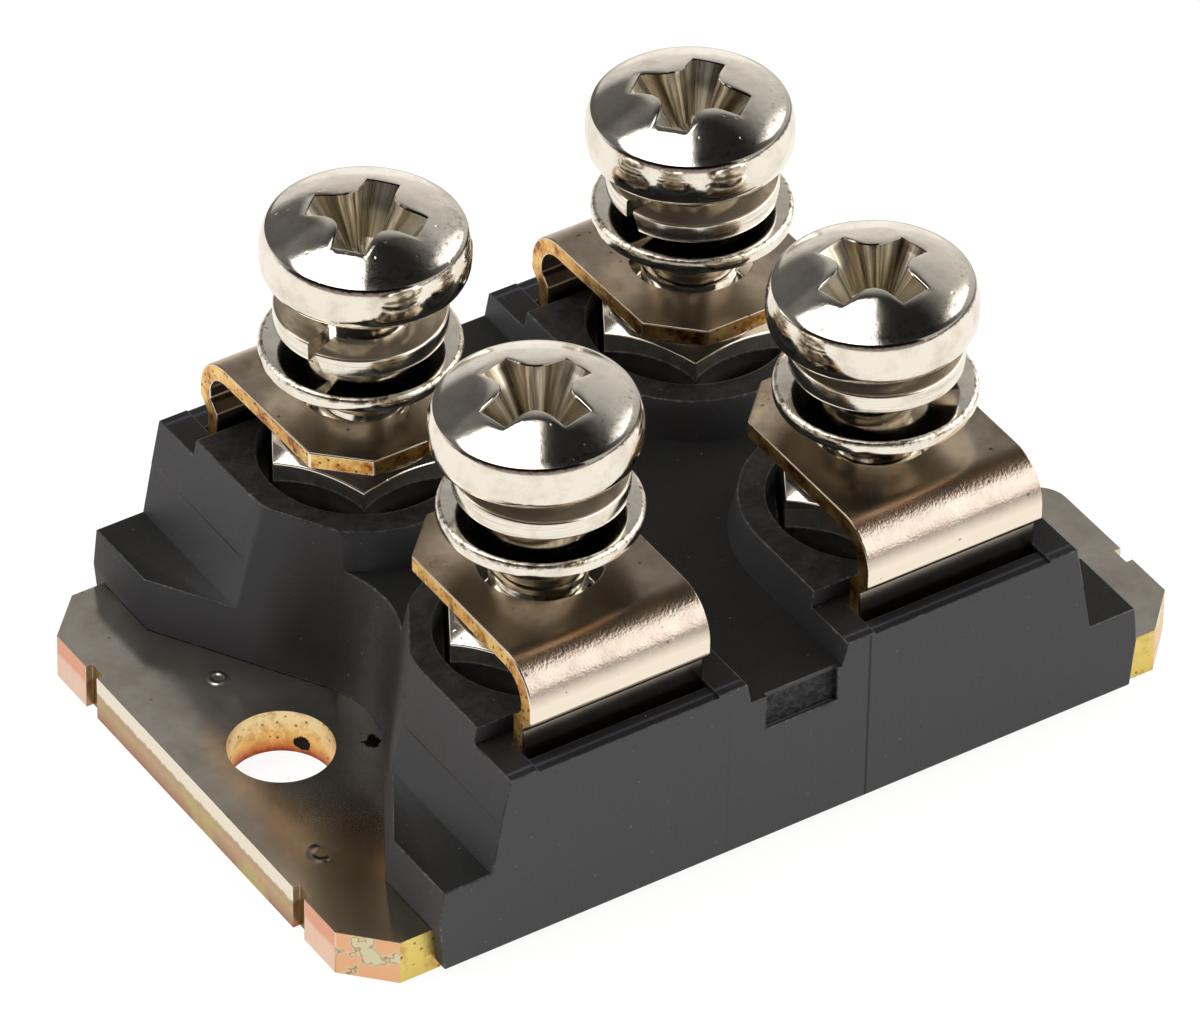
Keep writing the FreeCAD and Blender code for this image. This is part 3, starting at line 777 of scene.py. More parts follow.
def thread_rule():
    """A ridge of triangular section that winds up round the screw."""
    name = "screw_thread"
    if name in bpy.data.node_groups:
        return bpy.data.node_groups[name]
    tree, net, given = new_rule(name, ("Crest Radius", "Pitch", "Length", "Depth"))
    ridge = net.math("DIVIDE", given["Depth"], 1.5)
    middle = net.less(given["Crest Radius"], ridge)
    turns = net.math("DIVIDE", given["Length"], given["Pitch"])
    section = net.add("GeometryNodeCurvePrimitiveCircle", {"Resolution": 3, "Radius": ridge}).outputs[0]
    sweep_up(net, section, given["Finish"], 40, turns, middle, given["Length"])
    return tree


def spring_rule():
    """One turn of flat wire with rounded corners, rising from end to end."""
    name = "spring_washer"
    if name in bpy.data.node_groups:
        return bpy.data.node_groups[name]
    tree, net, given = new_rule(name, ("Middle Radius", "Turn", "Rise", "Width", "Thickness", "Corner"))
    box = net.add("GeometryNodeCurvePrimitiveQuadrilateral",
                  {"Width": given["Width"], "Height": given["Thickness"]}).outputs[0]
    rounded = net.add("GeometryNodeFilletCurve", {"Curve": box, "Count": 3, "Radius": given["Corner"],
                                                  "Limit Radius": True}, mode="POLY").outputs[0]
    sweep_up(net, rounded, given["Finish"], 120, given["Turn"], given["Middle Radius"], given["Rise"])
    return tree


class DIODE_OT_housing(bpy.types.Operator):
    """Moulded block with rounded edges, worn and with a painted highlight, and the torn gate mark"""

    bl_idname = "diode_module.housing"
    bl_label = "Moulded block"

    def execute(self, context):
        sizes = context.scene.diode_module.block
        made = merged_copy("housing")
        finishes = finishes_of(context, "moulded_epoxy", "worn_epoxy_with_painted_highlight")
        weight = made.edges.layers.float.new("bevel_weight_edge")
        for edge in made.edges:
            if len(edge.link_faces) == 2 and edge.calc_face_angle_signed(0.0) > math.radians(35):
                edge[weight] = 1.0 if edge.calc_length() > 0.3 * MM else 0.0
        piece = make_object(made, "moulded_block", finishes, 30.0)
        rounding = piece.modifiers.new("rounding", "BEVEL")
        rounding.width = sizes.edge_rounding
        rounding.segments = 2
        rounding.limit_method = "WEIGHT"
        rounding.use_clamp_overlap = False
        # The rounded faces take the worn edge finish with its painted highlight.
        rounding.material = 1
        settle(piece)
        piece.data.set_sharp_from_angle(angle=math.radians(30))
        weighting = piece.modifiers.new("weighting", "WEIGHTED_NORMAL")
        weighting.keep_sharp = True
        settle(piece)
        carry(piece, "block", "epoxy", "housing")
        return {"FINISHED"}


class DIODE_OT_base_plate(bpy.types.Operator):
    """Plated copper plate with a rolled and sheared end, a hole and a slot"""

    bl_idname = "diode_module.base_plate"
    bl_label = "Base plate"

    def outline(self, sizes, end, side):
        """Rear half of the plate's outline: points, each with the finish of the wall that follows."""
        centre = end - sizes.hole_to_end
        radius, mouth = sizes.hole_radius, sizes.mouth_radius
        half_end = [(end, sizes.notch_from), (end - sizes.notch_depth, sizes.notch_from),
                    (end - sizes.notch_depth, sizes.notch_to), (end, sizes.notch_to),
                    (end, side - sizes.corner_across)]
        corner = end - sizes.corner_along
        points = [(-end, 0.0, 1)] + [(-x, y, 1) for x, y in half_end]
        points += [(-corner, side, 2), (corner, side, 1)]
        points += [(x, y, 1) for x, y in reversed(half_end)]
        for step in range(13):
            angle = math.pi / 2 * step / 12
            across = radius + mouth - mouth * math.sin(angle)
            points.append((end - mouth + mouth * math.cos(angle), across, 2))
        for step in range(25):
            angle = math.pi / 2 * (1 + step / 24)
            wall = 2 if step < 24 else None
            points.append((centre + radius * math.cos(angle), radius * math.sin(angle), wall))
        for step in range(49):
            angle = math.pi * step / 48
            wall = 2 if step < 48 else None
            points.append((-centre + radius * math.cos(angle), radius * math.sin(angle), wall))
        return points

    def execute(self, context):
        sizes = context.scene.diode_module.block
        low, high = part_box("base_plate")
        made = bmesh.new()
        outline = self.outline(sizes, high.x, high.y)
        for side in (-1, 1):
            rows = [[made.verts.new((x, side * y, z)) for x, y, finish in outline] for z in (low.z, high.z)]
            made.faces.new(rows[0])
            made.faces.new(rows[1])
            for i, (x, y, finish) in enumerate(outline):
                if finish is not None:
                    j = (i + 1) % len(outline)
                    wall = made.faces.new([rows[0][i], rows[0][j], rows[1][j], rows[1][i]])
                    wall.material_index = finish
        bmesh.ops.remove_doubles(made, verts=made.verts, dist=0.001 * MM)
        bmesh.ops.recalc_face_normals(made, faces=made.faces)
        weight = made.edges.layers.float.new("bevel_weight_edge")
        for edge in made.edges:
            if len(edge.link_faces) != 2 or edge.calc_face_angle(0.0) < math.radians(30):
                continue
            middle = (edge.verts[0].co + edge.verts[1].co) / 2
            top = middle.z > high.z - 0.01 * MM
            end = abs(middle.x) > high.x - 0.01 * MM
            if top and end and abs(middle.y) < sizes.notch_from:
                edge[weight] = 1.0
            elif top and end:
                edge[weight] = 0.4
            else:
                edge[weight] = 0.2
        finishes = finishes_of(context, "plate_nickel", "sheared_end", "drilled_wall")
        piece = make_object(made, "plate", finishes, 30.0)
        rounding = piece.modifiers.new("rounding", "BEVEL")
        rounding.width = sizes.plate_rounding
        rounding.segments = 4
        rounding.limit_method = "WEIGHT"
        rounding.use_clamp_overlap = True
        rounding.harden_normals = True
        settle(piece)
        carry(piece, "block", "nickel_base", "base_plate")
        return {"FINISHED"}


def strip_path(sizes, station):
    """Middle line of a terminal as (distance from the middle plane, height)."""
    low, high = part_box("terminal_" + station)
    side = 1 if high.y > 0 else -1
    outer = max(abs(low.y), abs(high.y))
    inner = min(abs(low.y), abs(high.y))
    slope = {"rear_left": sizes.rear_left_slope, "rear_right": sizes.rear_right_slope}.get(station, 0.0)
    half = sizes.thickness / 2
    leg = outer - half
    radius = sizes.bend_radius - half
    lower_leg = leg - sizes.leg_jog
    foot_z = low.z + half
    foot_turn = sizes.foot_radius
    bend_centre = leg - radius
    axis_out = abs(axis_of(station).y)
    fold_end = high.z - (axis_out - inner) * math.tan(slope) - sizes.jog_below_top
    sweep = math.pi / 2 - slope
    end_out = bend_centre + radius * math.cos(sweep)
    inner_z = high.z - half / math.cos(slope) if slope == 0.0 else high.z - half * math.cos(slope)
    bend_z = inner_z - (end_out - inner) * math.tan(slope) - radius * math.sin(sweep)
    points = [(outer - sizes.foot_length, foot_z), (lower_leg - foot_turn, foot_z)]
    for step in range(1, 9):
        angle = math.pi / 2 * step / 8
        points.append((lower_leg - foot_turn + foot_turn * math.sin(angle),
                       foot_z + foot_turn * (1 - math.cos(angle))))
    points += [(lower_leg, fold_end - sizes.jog_height), (leg, fold_end)]
    for step in range(sizes.bend_steps + 1):
        angle = sweep * step / sizes.bend_steps
        points.append((bend_centre + radius * math.cos(angle), bend_z + radius * math.sin(angle)))
    points.append((inner, inner_z))
    return [Vector((side * out, up)) for out, up in points]


class DIODE_OT_terminals(bpy.types.Operator):
    """Four plated strips, bent over their nuts, with golden cut edges"""

    bl_idname = "diode_module.terminals"
    bl_label = "Terminals"

    def execute(self, context):
        sizes = context.scene.diode_module.terminals
        for station in STATIONS:
            self.make(context, sizes, station)
        return {"FINISHED"}

    def make(self, context, sizes, station):
        axis = axis_of(station)
        line = strip_path(sizes, station)
        half = sizes.thickness / 2
        made = bmesh.new()
        rows = []
        for i, point in enumerate(line):
            before = (point - line[i - 1]).normalized() if i else None
            after = (line[i + 1] - point).normalized() if i + 1 < len(line) else None
            along = (before + after).normalized() if before and after else before or after
            across = Vector((-along.y, along.x))
            stretch = half / (across.dot(Vector((-after.y, after.x))) if after else 1.0)
            rows.append([made.verts.new((axis.x + edge * sizes.strip_width / 2,
                                         *(point + across * stretch * face)))
                         for edge, face in ((-1, -1), (1, -1), (1, 1), (-1, 1))])
        skin(made, rows)
        made.faces.new(rows[0])
        made.faces.new(rows[-1])
        side = 1 if axis.y > 0 else -1
        tip = line[-1].x
        for edge in (-1, 1):
            corner = Vector((axis.x + edge * sizes.strip_width / 2, tip + side * sizes.corner, 0.0))
            outward = Vector((edge, -side, 0.0)).normalized()
            cut = bmesh.ops.bisect_plane(made, geom=made.verts[:] + made.edges[:] + made.faces[:],
                                         plane_co=corner, plane_no=outward, clear_outer=True)
            edges = [item for item in cut["geom_cut"] if isinstance(item, bmesh.types.BMEdge)]
            bmesh.ops.holes_fill(made, edges=edges)
        bmesh.ops.recalc_face_normals(made, faces=made.faces)
        for face in made.faces:
            normal = face.normal
            centre = face.calc_center_median()
            cut_side = abs(normal.x) > 0.6
            tab_end = centre.z > line[-1].y - 2 * half and side * normal.y < -0.6
            face.material_index = 1 if cut_side or tab_end else 0
        finishes = finishes_of(context, "strip_nickel", "strip_edge")
        piece = make_object(made, "strip_" + station, finishes, 12.0)
        drill = bmesh.new()
        angles = full_circle(96)
        bottom = ring(drill, angles, sizes.hole_radius, line[-1].y - 1.5 * MM)
        top = ring(drill, angles, sizes.hole_radius, line[-1].y + 1.5 * MM)
        skin(drill, [bottom, top])
        drill.faces.new(bottom)
        drill.faces.new(top)
        bmesh.ops.translate(drill, vec=axis, verts=drill.verts)
        tool = make_object(drill, "drill", [finishes[0]])
        cutting = piece.modifiers.new("hole", "BOOLEAN")
        cutting.operation = "DIFFERENCE"
        cutting.solver = "EXACT"
        cutting.object = tool
        settle(piece)
        bpy.data.objects.remove(tool)
        tidy = bmesh.new()
        tidy.from_mesh(piece.data)
        bmesh.ops.remove_doubles(tidy, verts=tidy.verts, dist=0.001 * MM)
        bmesh.ops.recalc_face_normals(tidy, faces=tidy.faces)
        tidy.to_mesh(piece.data)
        tidy.free()
        piece.data.set_sharp_from_angle(angle=math.radians(12))
        round_edges(piece, 0.07 * MM, 35.0, 0)
        carry(piece, "block", "nickel_terminal", "terminal_" + station)


class DIODE_OT_nuts(bpy.types.Operator):
    """Four hexagon nuts, chamfered on both faces, in their pockets"""

    bl_idname = "diode_module.nuts"
    bl_label = "Nuts"

    def execute(self, context):
        sizes = context.scene.diode_module.fasteners
        for station in STATIONS:
            low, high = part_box("nut_" + station)
            self.make(context, sizes, station, low.z, high.z)
        return {"FINISHED"}

    def make(self, context, sizes, station, bottom, top):
        apothem = sizes.nut_flats / 2
        rim = apothem / math.cos(math.pi / 6) - sizes.nut_chamfer * math.sqrt(3)
        bore = sizes.thread_radius + 0.05 * MM
        angles = full_circle(144)
        made = bmesh.new()

        def reach(angle):
            return apothem / math.cos((angle + math.pi / 6) % (math.pi / 3) - math.pi / 6)

        def shoulder(height, towards):
            return [made.verts.new((reach(a) * math.cos(a), reach(a) * math.sin(a),
                                    height + towards * max(0.0, reach(a) - rim) / math.sqrt(3)))
                    for a in angles]

        lead = 0.3 * MM
        rings = [ring(made, angles, bore, bottom + lead), ring(made, angles, bore + lead, bottom),
                 ring(made, angles, min(rim, apothem - 0.02 * MM), bottom), shoulder(bottom, 1),
                 shoulder(top, -1), ring(made, angles, min(rim, apothem - 0.02 * MM), top),
                 ring(made, angles, bore + lead, top), ring(made, angles, bore, top - lead)]
        skin(made, rings + rings[:1])
        axis = axis_of(station)
        spin = Matrix.Translation(axis) @ Matrix.Rotation(math.radians(30.0), 4, "Z")
        bmesh.ops.transform(made, matrix=spin, verts=made.verts)
        piece = make_object(made, "hexagon_nut_" + station, [finish_of(context, "bright_nickel")], 20.0)
        round_edges(piece, 0.06 * MM, 24.0)
        carry(piece, "block", "nickel_fastener", "nut_" + station)


def recess_outline(share, sizes):
    """Points of the cross recess in order round the axis; share 0 is its top, 1 its floor."""
    reach = sizes.recess_reach + share * (1.1 * MM - sizes.recess_reach)
    half = (0.635 - 0.33 * share) * MM
    tip = (1.30 - 0.72 * share) * MM / math.sqrt(2)
    start = Vector((reach, half))
    first = Vector((reach - 0.55 * (reach - tip), half + 0.04 * MM))
    pull = min(0.34 * MM, 0.45 * (reach - tip))
    second = Vector((tip + pull, tip - pull * 0.85))
    last = Vector((tip, tip))
    side = []
    for step in range(11):
        t = step / 10
        side.append(start * (1 - t) ** 3 + first * 3 * t * (1 - t) ** 2 + second * 3 * t * t * (1 - t)
                    + last * t ** 3)
    quadrant = [Vector((reach, half * k / 3)) for k in range(3)] + side
    mirrored = [Vector((p.y, p.x)) for p in reversed(quadrant)]
    quarter = quadrant + mirrored[1:-1]
    points = []
    for turn_index in range(4):
        angle = turn_index * math.pi / 2
        points += [Matrix.Rotation(angle, 2) @ p for p in quarter]
    return points


class DIODE_OT_screws(bpy.types.Operator):
    """Four pan head screws with a punched cross recess and a rolled thread"""

    bl_idname = "diode_module.screws"
    bl_label = "Screws"

    # Inset from the head's radius and height above its underside, in millimetres, from the dome down
    wall_profile = (
        (-0.228, 2.25), (-0.2, 2.21), (-0.165, 2.14), (-0.12, 2.02), (-0.075, 1.87), (-0.03, 1.7),
        (-0.007, 1.5), (0.0, 1.2), (-0.005, 0.95), (-0.045, 0.7), (-0.12, 0.52),
    )
    underside_profile = ((-0.2, 0.42), (-0.32, 0.32), (-0.48, 0.2), (-0.68, 0.06), (-0.85, 0.0), (-1.88, 0.0))

    # How far each screw sits below its place in millimetres, leans in its nut, and is turned, in degrees
    drops = {"front_left": 0.0, "front_right": 0.15, "rear_left": 0.08, "rear_right": 0.09}
    leans = {"front_left": 1.2, "front_right": 1.4, "rear_left": -1.0, "rear_right": 0.9}
    turns = {"front_left": 12.0, "front_right": 12.0, "rear_left": 41.0, "rear_right": 38.0}

    def execute(self, context):
        sizes = context.scene.diode_module.fasteners
        for station in STATIONS:
            self.make(context, sizes, station)
        return {"FINISHED"}

    def dome(self, sizes, radius):
        sphere = sizes.dome_sphere
        return sizes.head_height - sphere + math.sqrt(sphere ** 2 - radius ** 2)

    def head(self, made, sizes):
        """Recess, dome, shoulder, wall and underside, from the inside out."""
        dome = self.dome
        floor_z = sizes.head_height - sizes.recess_depth
        floor = recess_outline(1.0, sizes)
        angles = [math.atan2(p.y, p.x) for p in recess_outline(0.0, sizes)]
        punched = [[made.verts.new((0, 0, floor_z - 0.25 * MM))]]
        for part in (0.45, 1.0):
            depth = floor_z - 0.25 * MM * (1 - part ** 2)
            punched.append([made.verts.new((p.x * part, p.y * part, depth)) for p in floor])
        for step in range(1, 12):
            share = 1 - step / 12
            outline = recess_outline(share, sizes)
            height = floor_z + (sizes.head_height - 0.16 * MM - floor_z) * (1 - share)
            blend = max(0.0, (step - 6) / 6)
            crest = dome(sizes, 0.0)
            punched.append([made.verts.new((p.x, p.y, height + blend * (dome(sizes, p.length) - crest)))
                            for p in outline])
        top = recess_outline(0.0, sizes)
        lip = [made.verts.new((p.x, p.y, dome(sizes, p.length) - 0.07 * MM)) for p in top]
        skin(made, punched + [lip], 1)
        crown = [lip]
        outlets = []
        for i, p in enumerate(top):
            before = (p - top[i - 1]).orthogonal().normalized()
            outlets.append(before + (top[(i + 1) % len(top)] - p).orthogonal().normalized())
        outlets = [-d.normalized() if d.dot(p) < 0 else d.normalized() for d, p in zip(outlets, top)]
        for out, drop in ((0.035, 0.02), (0.09, 0.0)):
            spread = [p + d * out * MM for p, d in zip(top, outlets)]
            crown.append([made.verts.new((q.x, q.y, dome(sizes, q.length) - drop * MM)) for q in spread])
        base = [p + d * 0.09 * MM for p, d in zip(top, outlets)]
        for step in range(1, 9):
            share = (step / 8) ** 0.8
            reach = sizes.dome_radius - 0.03 * MM
            flat = [p.lerp(Vector((math.cos(a), math.sin(a))) * reach, share) for p, a in zip(base, angles)]
            crown.append([made.verts.new((q.x, q.y, dome(sizes, q.length))) for q in flat])
        for inset, height in self.wall_profile:
            crown.append(ring(made, angles, sizes.head_radius + inset * MM, height * MM))
        skin(made, crown, 0)
        under = [crown[-1]]
        for inset, height in self.underside_profile:
            under.append(ring(made, angles, sizes.head_radius + inset * MM, height * MM))
        skin(made, under, 2)
        shank = [under[-1], ring(made, angles, sizes.neck_radius + 0.15 * MM, 0.0),
                 ring(made, angles, sizes.neck_radius, -0.15 * MM),
                 ring(made, angles, sizes.neck_radius, -sizes.neck_length)]
        root = sizes.thread_radius - sizes.thread_depth
        shank += [ring(made, angles, root, -sizes.neck_length - 0.1 * MM),
                  ring(made, angles, root, -sizes.screw_length + 0.2 * MM),
                  ring(made, angles, root - 0.2 * MM, -sizes.screw_length),
                  [made.verts.new((0, 0, -sizes.screw_length))]]
        skin(made, shank, 0)

    def make(self, context, sizes, station):
        low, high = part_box("screw_" + station)
        under = low.z + sizes.screw_length - self.drops[station] * MM
        made = bmesh.new()
        self.head(made, sizes)
        finishes = finishes_of(context, "bright_nickel", "punched_nickel", "rolled_nickel")
        thread_length = sizes.screw_length - sizes.neck_length - 0.75 * MM
        thread = run_rule(thread_rule(), {
            "Crest Radius": sizes.thread_radius, "Pitch": sizes.thread_pitch, "Length": thread_length,
            "Depth": sizes.thread_depth + 0.03 * MM, "Finish": finishes[0]}, "thread")
        thread.transform(Matrix.Translation((0, 0, -sizes.screw_length + 0.35 * MM)))
        winding = bmesh.new()
        winding.from_mesh(thread)
        bmesh.ops.remove_doubles(winding, verts=winding.verts, dist=0.0005 * MM)
        bmesh.ops.recalc_face_normals(winding, faces=winding.faces)
        lowered = bpy.data.meshes.new("thread_part")
        winding.to_mesh(lowered)
        winding.free()
        made.from_mesh(lowered)
        bpy.data.meshes.remove(lowered)
        bpy.data.meshes.remove(thread)
        axis = axis_of(station)
        spin = Matrix.Rotation(math.radians(self.turns[station]), 4, "Z")
        nut_low, nut_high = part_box("nut_" + station)
        grip = Vector((axis.x, axis.y, (nut_low.z + nut_high.z) / 2))
        azimuth = context.scene.diode_module.studio.azimuth
        tilt_axis = Vector((math.sin(azimuth), -math.cos(azimuth), 0.0))
        lean = Matrix.Rotation(math.radians(self.leans[station]), 4, tilt_axis)
        place = Matrix.Translation(grip) @ lean @ Matrix.Translation((0.0, 0.0, under - grip.z))
        bmesh.ops.transform(made, matrix=place @ spin, verts=made.verts)
        piece = make_object(made, "pan_head_screw_" + station, finishes, 24.0)
        carry(piece, "screw_" + station, "nickel_fastener", "screw_" + station)


class DIODE_OT_flat_washers(bpy.types.Operator):
    """Four punched washers with a rolled upper edge"""

    bl_idname = "diode_module.flat_washers"
    bl_label = "Flat washers"

    def execute(self, context):
        sizes = context.scene.diode_module.fasteners
        finishes = finishes_of(context, "bright_nickel", "rolled_nickel")
        for station in STATIONS:
            low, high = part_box("flat_washer_" + station)
            outer, inner = sizes.flat_radius, sizes.flat_hole
            deep = high.z - low.z
            angles = full_circle(sizes.round_steps)
            made = bmesh.new()
            steps = [(inner, 0.12 * MM), (inner + 0.06 * MM, 0.0), (outer - 0.1 * MM, 0.0),
                     (outer - 0.02 * MM, 0.05 * MM), (outer, 0.14 * MM), (outer, deep - 0.2 * MM)]
            edge = [(outer, deep - 0.2 * MM), (outer - 0.03 * MM, deep - 0.09 * MM),
                    (outer - 0.1 * MM, deep - 0.02 * MM), (outer - 0.2 * MM, deep)]
            face = [(outer - 0.2 * MM, deep), (inner + 0.1 * MM, deep), (inner, deep - 0.1 * MM)]
            lower = [ring(made, angles, r, z) for r, z in steps]
            rolled = [lower[-1]] + [ring(made, angles, r, z) for r, z in edge[1:]]
            upper = [rolled[-1]] + [ring(made, angles, r, z) for r, z in face[1:]]
            skin(made, lower, 0)
            skin(made, rolled, 1)
            skin(made, upper + [lower[0]], 0)
            axis = axis_of(station)
            bmesh.ops.translate(made, vec=(axis.x, axis.y, low.z), verts=made.verts)
            piece = make_object(made, "plain_washer_" + station, finishes, 40.0)
            carry(piece, "washers_" + station, "nickel_fastener", "flat_washer_" + station)
        return {"FINISHED"}


class DIODE_OT_spring_washers(bpy.types.Operator):
    """Four split washers of flat wire, each sprung open a little"""

    bl_idname = "diode_module.spring_washers"
    bl_label = "Spring washers"

    falling = ("front_right", "rear_left", "rear_right")
    splits = {"front_left": 75.0, "front_right": -27.0, "rear_left": -146.0, "rear_right": -160.0}

    def execute(self, context):
        sizes = context.scene.diode_module.fasteners
        wire = sizes.spring_radius - sizes.spring_hole
        middle = (sizes.spring_radius + sizes.spring_hole) / 2
        for station in STATIONS:
            low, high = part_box("spring_washer_" + station)
            rise = high.z - low.z - sizes.spring_thickness
            mesh = run_rule(spring_rule(), {
                "Middle Radius": middle, "Turn": 1 - sizes.spring_gap / (2 * math.pi), "Rise": rise,
                "Width": wire, "Thickness": sizes.spring_thickness, "Corner": 0.12 * MM,
                "Finish": finish_of(context, "drawn_wire")}, "wire")
            made = bmesh.new()
            made.from_mesh(mesh)
            bpy.data.meshes.remove(mesh)
            bmesh.ops.remove_doubles(made, verts=made.verts, dist=0.0005 * MM)
            self.slant_ends(made, sizes, rise)
            axis = axis_of(station)
            hand = -1.0 if station in self.falling else 1.0
            spin = Matrix.Rotation(math.radians(self.splits[station]) + hand * sizes.spring_gap / 2, 4, "Z")
            spin = spin @ Matrix.Diagonal((1.0, hand, 1.0, 1.0))
            place = Matrix.Translation((axis.x, axis.y, low.z + sizes.spring_thickness / 2))
            bmesh.ops.transform(made, matrix=place @ spin, verts=made.verts)
            piece = make_object(made, "split_washer_" + station, [finish_of(context, "drawn_wire")], 40.0)
            carry(piece, "washers_" + station, "nickel_fastener", "spring_washer_" + station)
        return {"FINISHED"}

    def slant_ends(self, made, sizes, rise):
        """Slants both cut ends, as the wire is sheared at an angle."""
        last = 2 * math.pi - sizes.spring_gap
        for vertex in made.verts:
            angle = math.atan2(vertex.co.y, vertex.co.x) % (2 * math.pi)
            near_start = angle < 0.01 or angle > 2 * math.pi - 0.01
            near_end = abs(angle - last) < 0.01
            if near_start or near_end:
                height = vertex.co.z - (rise if near_end else 0.0)
                lean = height / sizes.spring_thickness * sizes.spring_slant
                vertex.co.rotate(Matrix.Rotation(lean, 3, "Z"))


class DIODE_OT_circuit(bpy.types.Operator):
    """Finishes of the sealed circuit under the block"""

    bl_idname = "diode_module.circuit"
    bl_label = "Sealed circuit"

    def execute(self, context):
        finishes = {
            "substrate_backing": "bare_copper", "ceramic_substrate": "fired_ceramic",
            "copper_tracks": "bare_copper",
            "diode_chip_left": "silicon", "diode_chip_right": "silicon", "solder_layer_left": "dull_solder",
            "solder_layer_right": "dull_solder", "contact_clip_left": "bare_copper",
            "contact_clip_right": "bare_copper",
        }
        for node, name in finishes.items():
            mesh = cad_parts[node].data
            mesh.materials.clear()
            mesh.materials.append(finish_of(context, name))
        return {"FINISHED"}


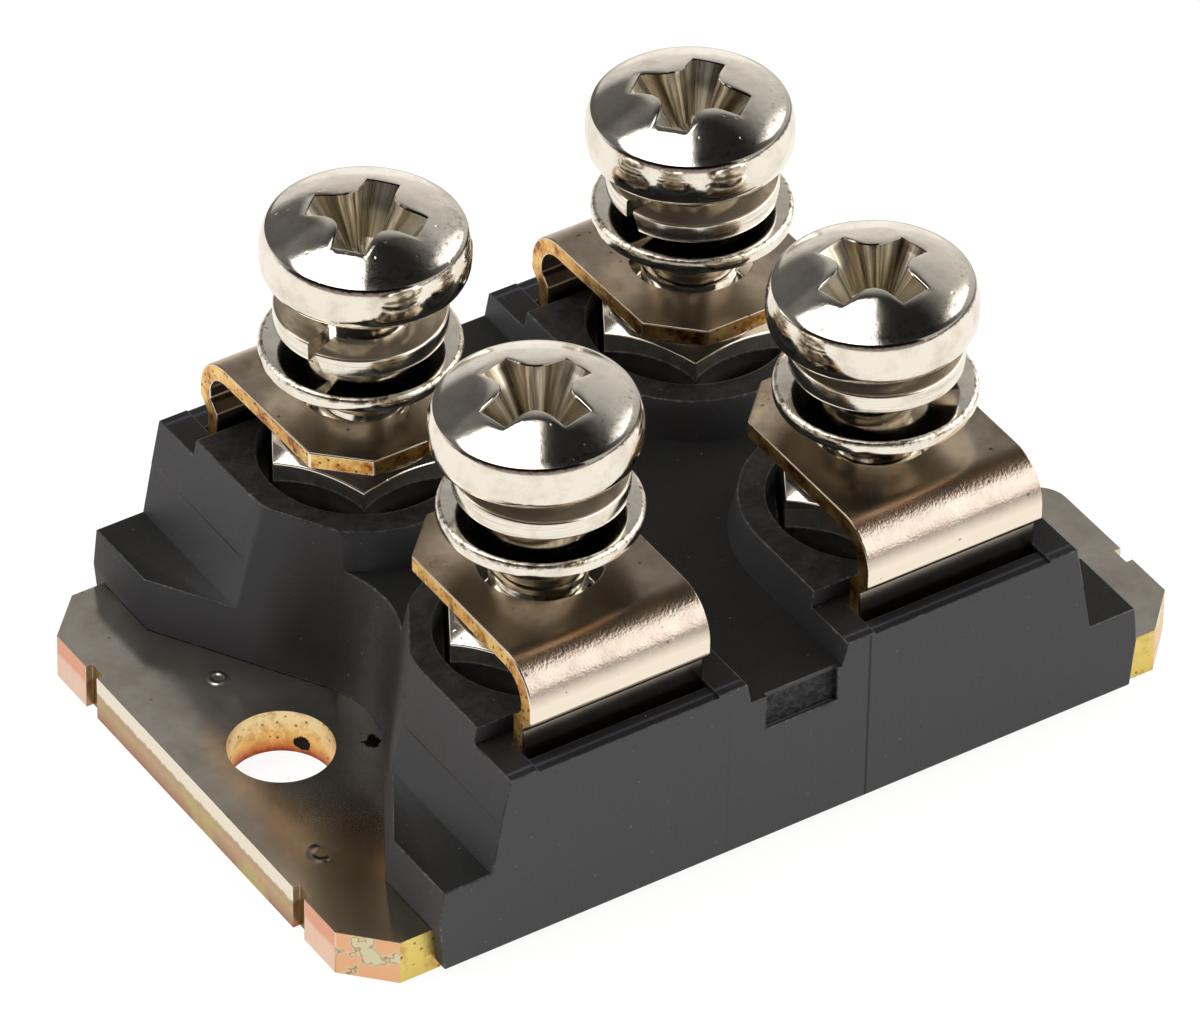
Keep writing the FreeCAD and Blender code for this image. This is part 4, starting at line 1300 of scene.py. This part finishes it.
class DIODE_OT_studio(bpy.types.Operator):
    """Camera, pale floor and soft light panels"""

    bl_idname = "diode_module.studio"
    bl_label = "Studio"

    def execute(self, context):
        settings = context.scene.diode_module.studio
        self.place_camera(context, settings)
        self.lay_floor()
        self.light(context, settings)
        context.scene.view_settings.view_transform = "Standard"
        return {"FINISHED"}

    def place_camera(self, context, settings):
        target = Vector((-0.623, 0.102, 7.513)) * MM
        level = math.cos(settings.elevation)
        away = Vector((math.sin(settings.azimuth) * level, -math.cos(settings.azimuth) * level,
                       math.sin(settings.elevation)))
        camera_data = bpy.data.cameras.new("camera")
        camera_data.lens = settings.lens
        camera_data.sensor_width = 36.0
        camera_data.clip_start = 0.01
        camera_data.clip_end = 50.0
        camera = bpy.data.objects.new("camera", camera_data)
        context.scene.collection.objects.link(camera)
        aim = (-away).to_track_quat("-Z", "Y").to_matrix().to_4x4()
        spot = Matrix.Translation(target + away * settings.distance)
        camera.matrix_world = spot @ aim @ Matrix.Rotation(settings.roll, 4, "Z")
        context.scene.camera = camera

    def lay_floor(self):
        made = bmesh.new()
        bmesh.ops.create_grid(made, x_segments=8, y_segments=8, size=1.5)
        bmesh.ops.translate(made, vec=(0, 0, -0.02 * MM), verts=made.verts)
        material, net, shader = new_finish("studio_floor")
        set_constants(shader, {"Roughness": 0.6, "Base Color": (0.86, 0.85, 0.83, 1.0)})
        path = net.add("ShaderNodeLightPath").outputs
        seen = net.math("MAXIMUM", path["Is Camera Ray"], path["Is Glossy Ray"])
        glow = net.add("ShaderNodeEmission", {"Color": (1.0, 0.965, 0.91, 1.0), "Strength": 1.12}).outputs[0]
        white = net.add("ShaderNodeEmission", {"Color": (1.0, 1.0, 1.0, 1.0), "Strength": 1.12}).outputs[0]
        lit = net.add("ShaderNodeMixShader", {0: path["Is Camera Ray"], 1: glow, 2: white}).outputs[0]
        share = net.math("MULTIPLY", seen, 0.82)
        output = [n for n in net.tree.nodes if n.type == "OUTPUT_MATERIAL"][0]
        mixed = net.add("ShaderNodeMixShader", {0: share, 1: shader.outputs[0], 2: lit}).outputs[0]
        net.tree.links.new(mixed, output.inputs[0])
        floor = make_object(made, "studio_floor", [material])

    def light(self, context, settings):
        world = bpy.data.worlds.new("studio")
        context.scene.world = world
        world.use_nodes = True
        world.node_tree.nodes.clear()
        net = Net(world.node_tree)
        direction = net.add("ShaderNodeTexCoord").outputs["Generated"]
        front = (math.sin(settings.azimuth), -math.cos(settings.azimuth), 0.0)
        right = (math.cos(settings.azimuth), math.sin(settings.azimuth), 0.0)
        up = net.add("ShaderNodeSeparateXYZ", {0: direction}).outputs[2]
        towards = net.vector_math("DOT_PRODUCT", direction, front, "Value")
        aside = net.vector_math("DOT_PRODUCT", direction, right, "Value")
        back = net.ramp(net.math("MULTIPLY", up, 1.0, clamp=True), (0.0, (0.85, 0.81, 0.76)),
                        (0.3, (0.66, 0.63, 0.59)), (0.63, (0.46, 0.44, 0.415)), (0.8, (0.09, 0.085, 0.08)),
                        (0.87, (0.016, 0.015, 0.015)))
        near = net.ramp(net.math("MULTIPLY", up, 1.0, clamp=True), (0.0, (0.34, 0.30, 0.28)),
                        (0.22, (0.22, 0.15, 0.14)), (0.34, (0.022, 0.02, 0.026)), (1.0, (0.012, 0.012, 0.014)))
        room = net.mix(net.span(towards, -0.08, 0.22), back, near)
        left_far = net.product(net.span(aside, -0.12, -0.3), net.inside(up, 0.24, 0.72, 0.06),
                               net.span(towards, -0.25, -0.4))
        room = net.mix(net.product(left_far, 0.85), room, (0.05, 0.048, 0.045))
        high = net.math("MAXIMUM", up, 0.02)
        sideways = net.math("DIVIDE", aside, high)
        forward = net.math("DIVIDE", towards, high)
        overhead = net.product(net.inside(forward, -0.5, 0.28, 0.015), net.inside(sideways, -3.5, 0.0, 0.015),
                               net.span(up, 0.05, 0.1))
        side = net.product(net.span(aside, 0.46, 0.54), net.inside(up, 0.12, 0.79, 0.03),
                           net.inside(towards, -0.78, 0.6, 0.03))
        glow = net.sum(net.product(overhead, settings.overhead), net.product(side, settings.side))
        warm_white = (1.0, 0.975, 0.93, 1.0)
        panels = net.add("ShaderNodeBackground", {"Color": warm_white, "Strength": glow}).outputs[0]
        walls = net.add("ShaderNodeBackground", {"Color": room, "Strength": 1.0}).outputs[0]
        surroundings = net.add("ShaderNodeAddShader", {0: panels, 1: walls}).outputs[0]
        white = (1.0, 1.0, 1.0, 1.0)
        backdrop = net.add("ShaderNodeBackground", {"Color": white, "Strength": 1.0}).outputs[0]
        seen = net.add("ShaderNodeLightPath").outputs["Is Camera Ray"]
        mixed = net.add("ShaderNodeMixShader", {0: seen, 1: surroundings, 2: backdrop}).outputs[0]
        output = net.add("ShaderNodeOutputWorld")
        net.tree.links.new(mixed, output.inputs[0])


OPERATORS = (
    DIODE_OT_studio, DIODE_OT_housing, DIODE_OT_base_plate, DIODE_OT_terminals, DIODE_OT_nuts,
    DIODE_OT_screws, DIODE_OT_spring_washers, DIODE_OT_flat_washers, DIODE_OT_circuit,
)


class VIEW3D_PT_diode_module(bpy.types.Panel):
    """Pieces of the diode module"""

    bl_label = "Diode Module"
    bl_idname = "VIEW3D_PT_diode_module"
    bl_space_type = "VIEW_3D"
    bl_region_type = "UI"
    bl_category = "Diode Module"

    def draw(self, context):
        for operator in OPERATORS:
            self.layout.operator(operator.bl_idname, text=operator.bl_label)


CLASSES = (
    BlockSizes, TerminalSizes, FastenerSizes, StudioSettings, DiodeModule, *OPERATORS, VIEW3D_PT_diode_module,
)


def register():
    for item in CLASSES:
        bpy.utils.register_class(item)
    bpy.types.Scene.diode_module = PointerProperty(type=DiodeModule)


def unregister():
    del bpy.types.Scene.diode_module
    for item in reversed(CLASSES):
        bpy.utils.unregister_class(item)


def main():
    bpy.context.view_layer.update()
    register()
    for operator in OPERATORS:
        group, name = operator.bl_idname.split(".")
        getattr(getattr(bpy.ops, group), name)()


if __name__ == "__main__":
    main()
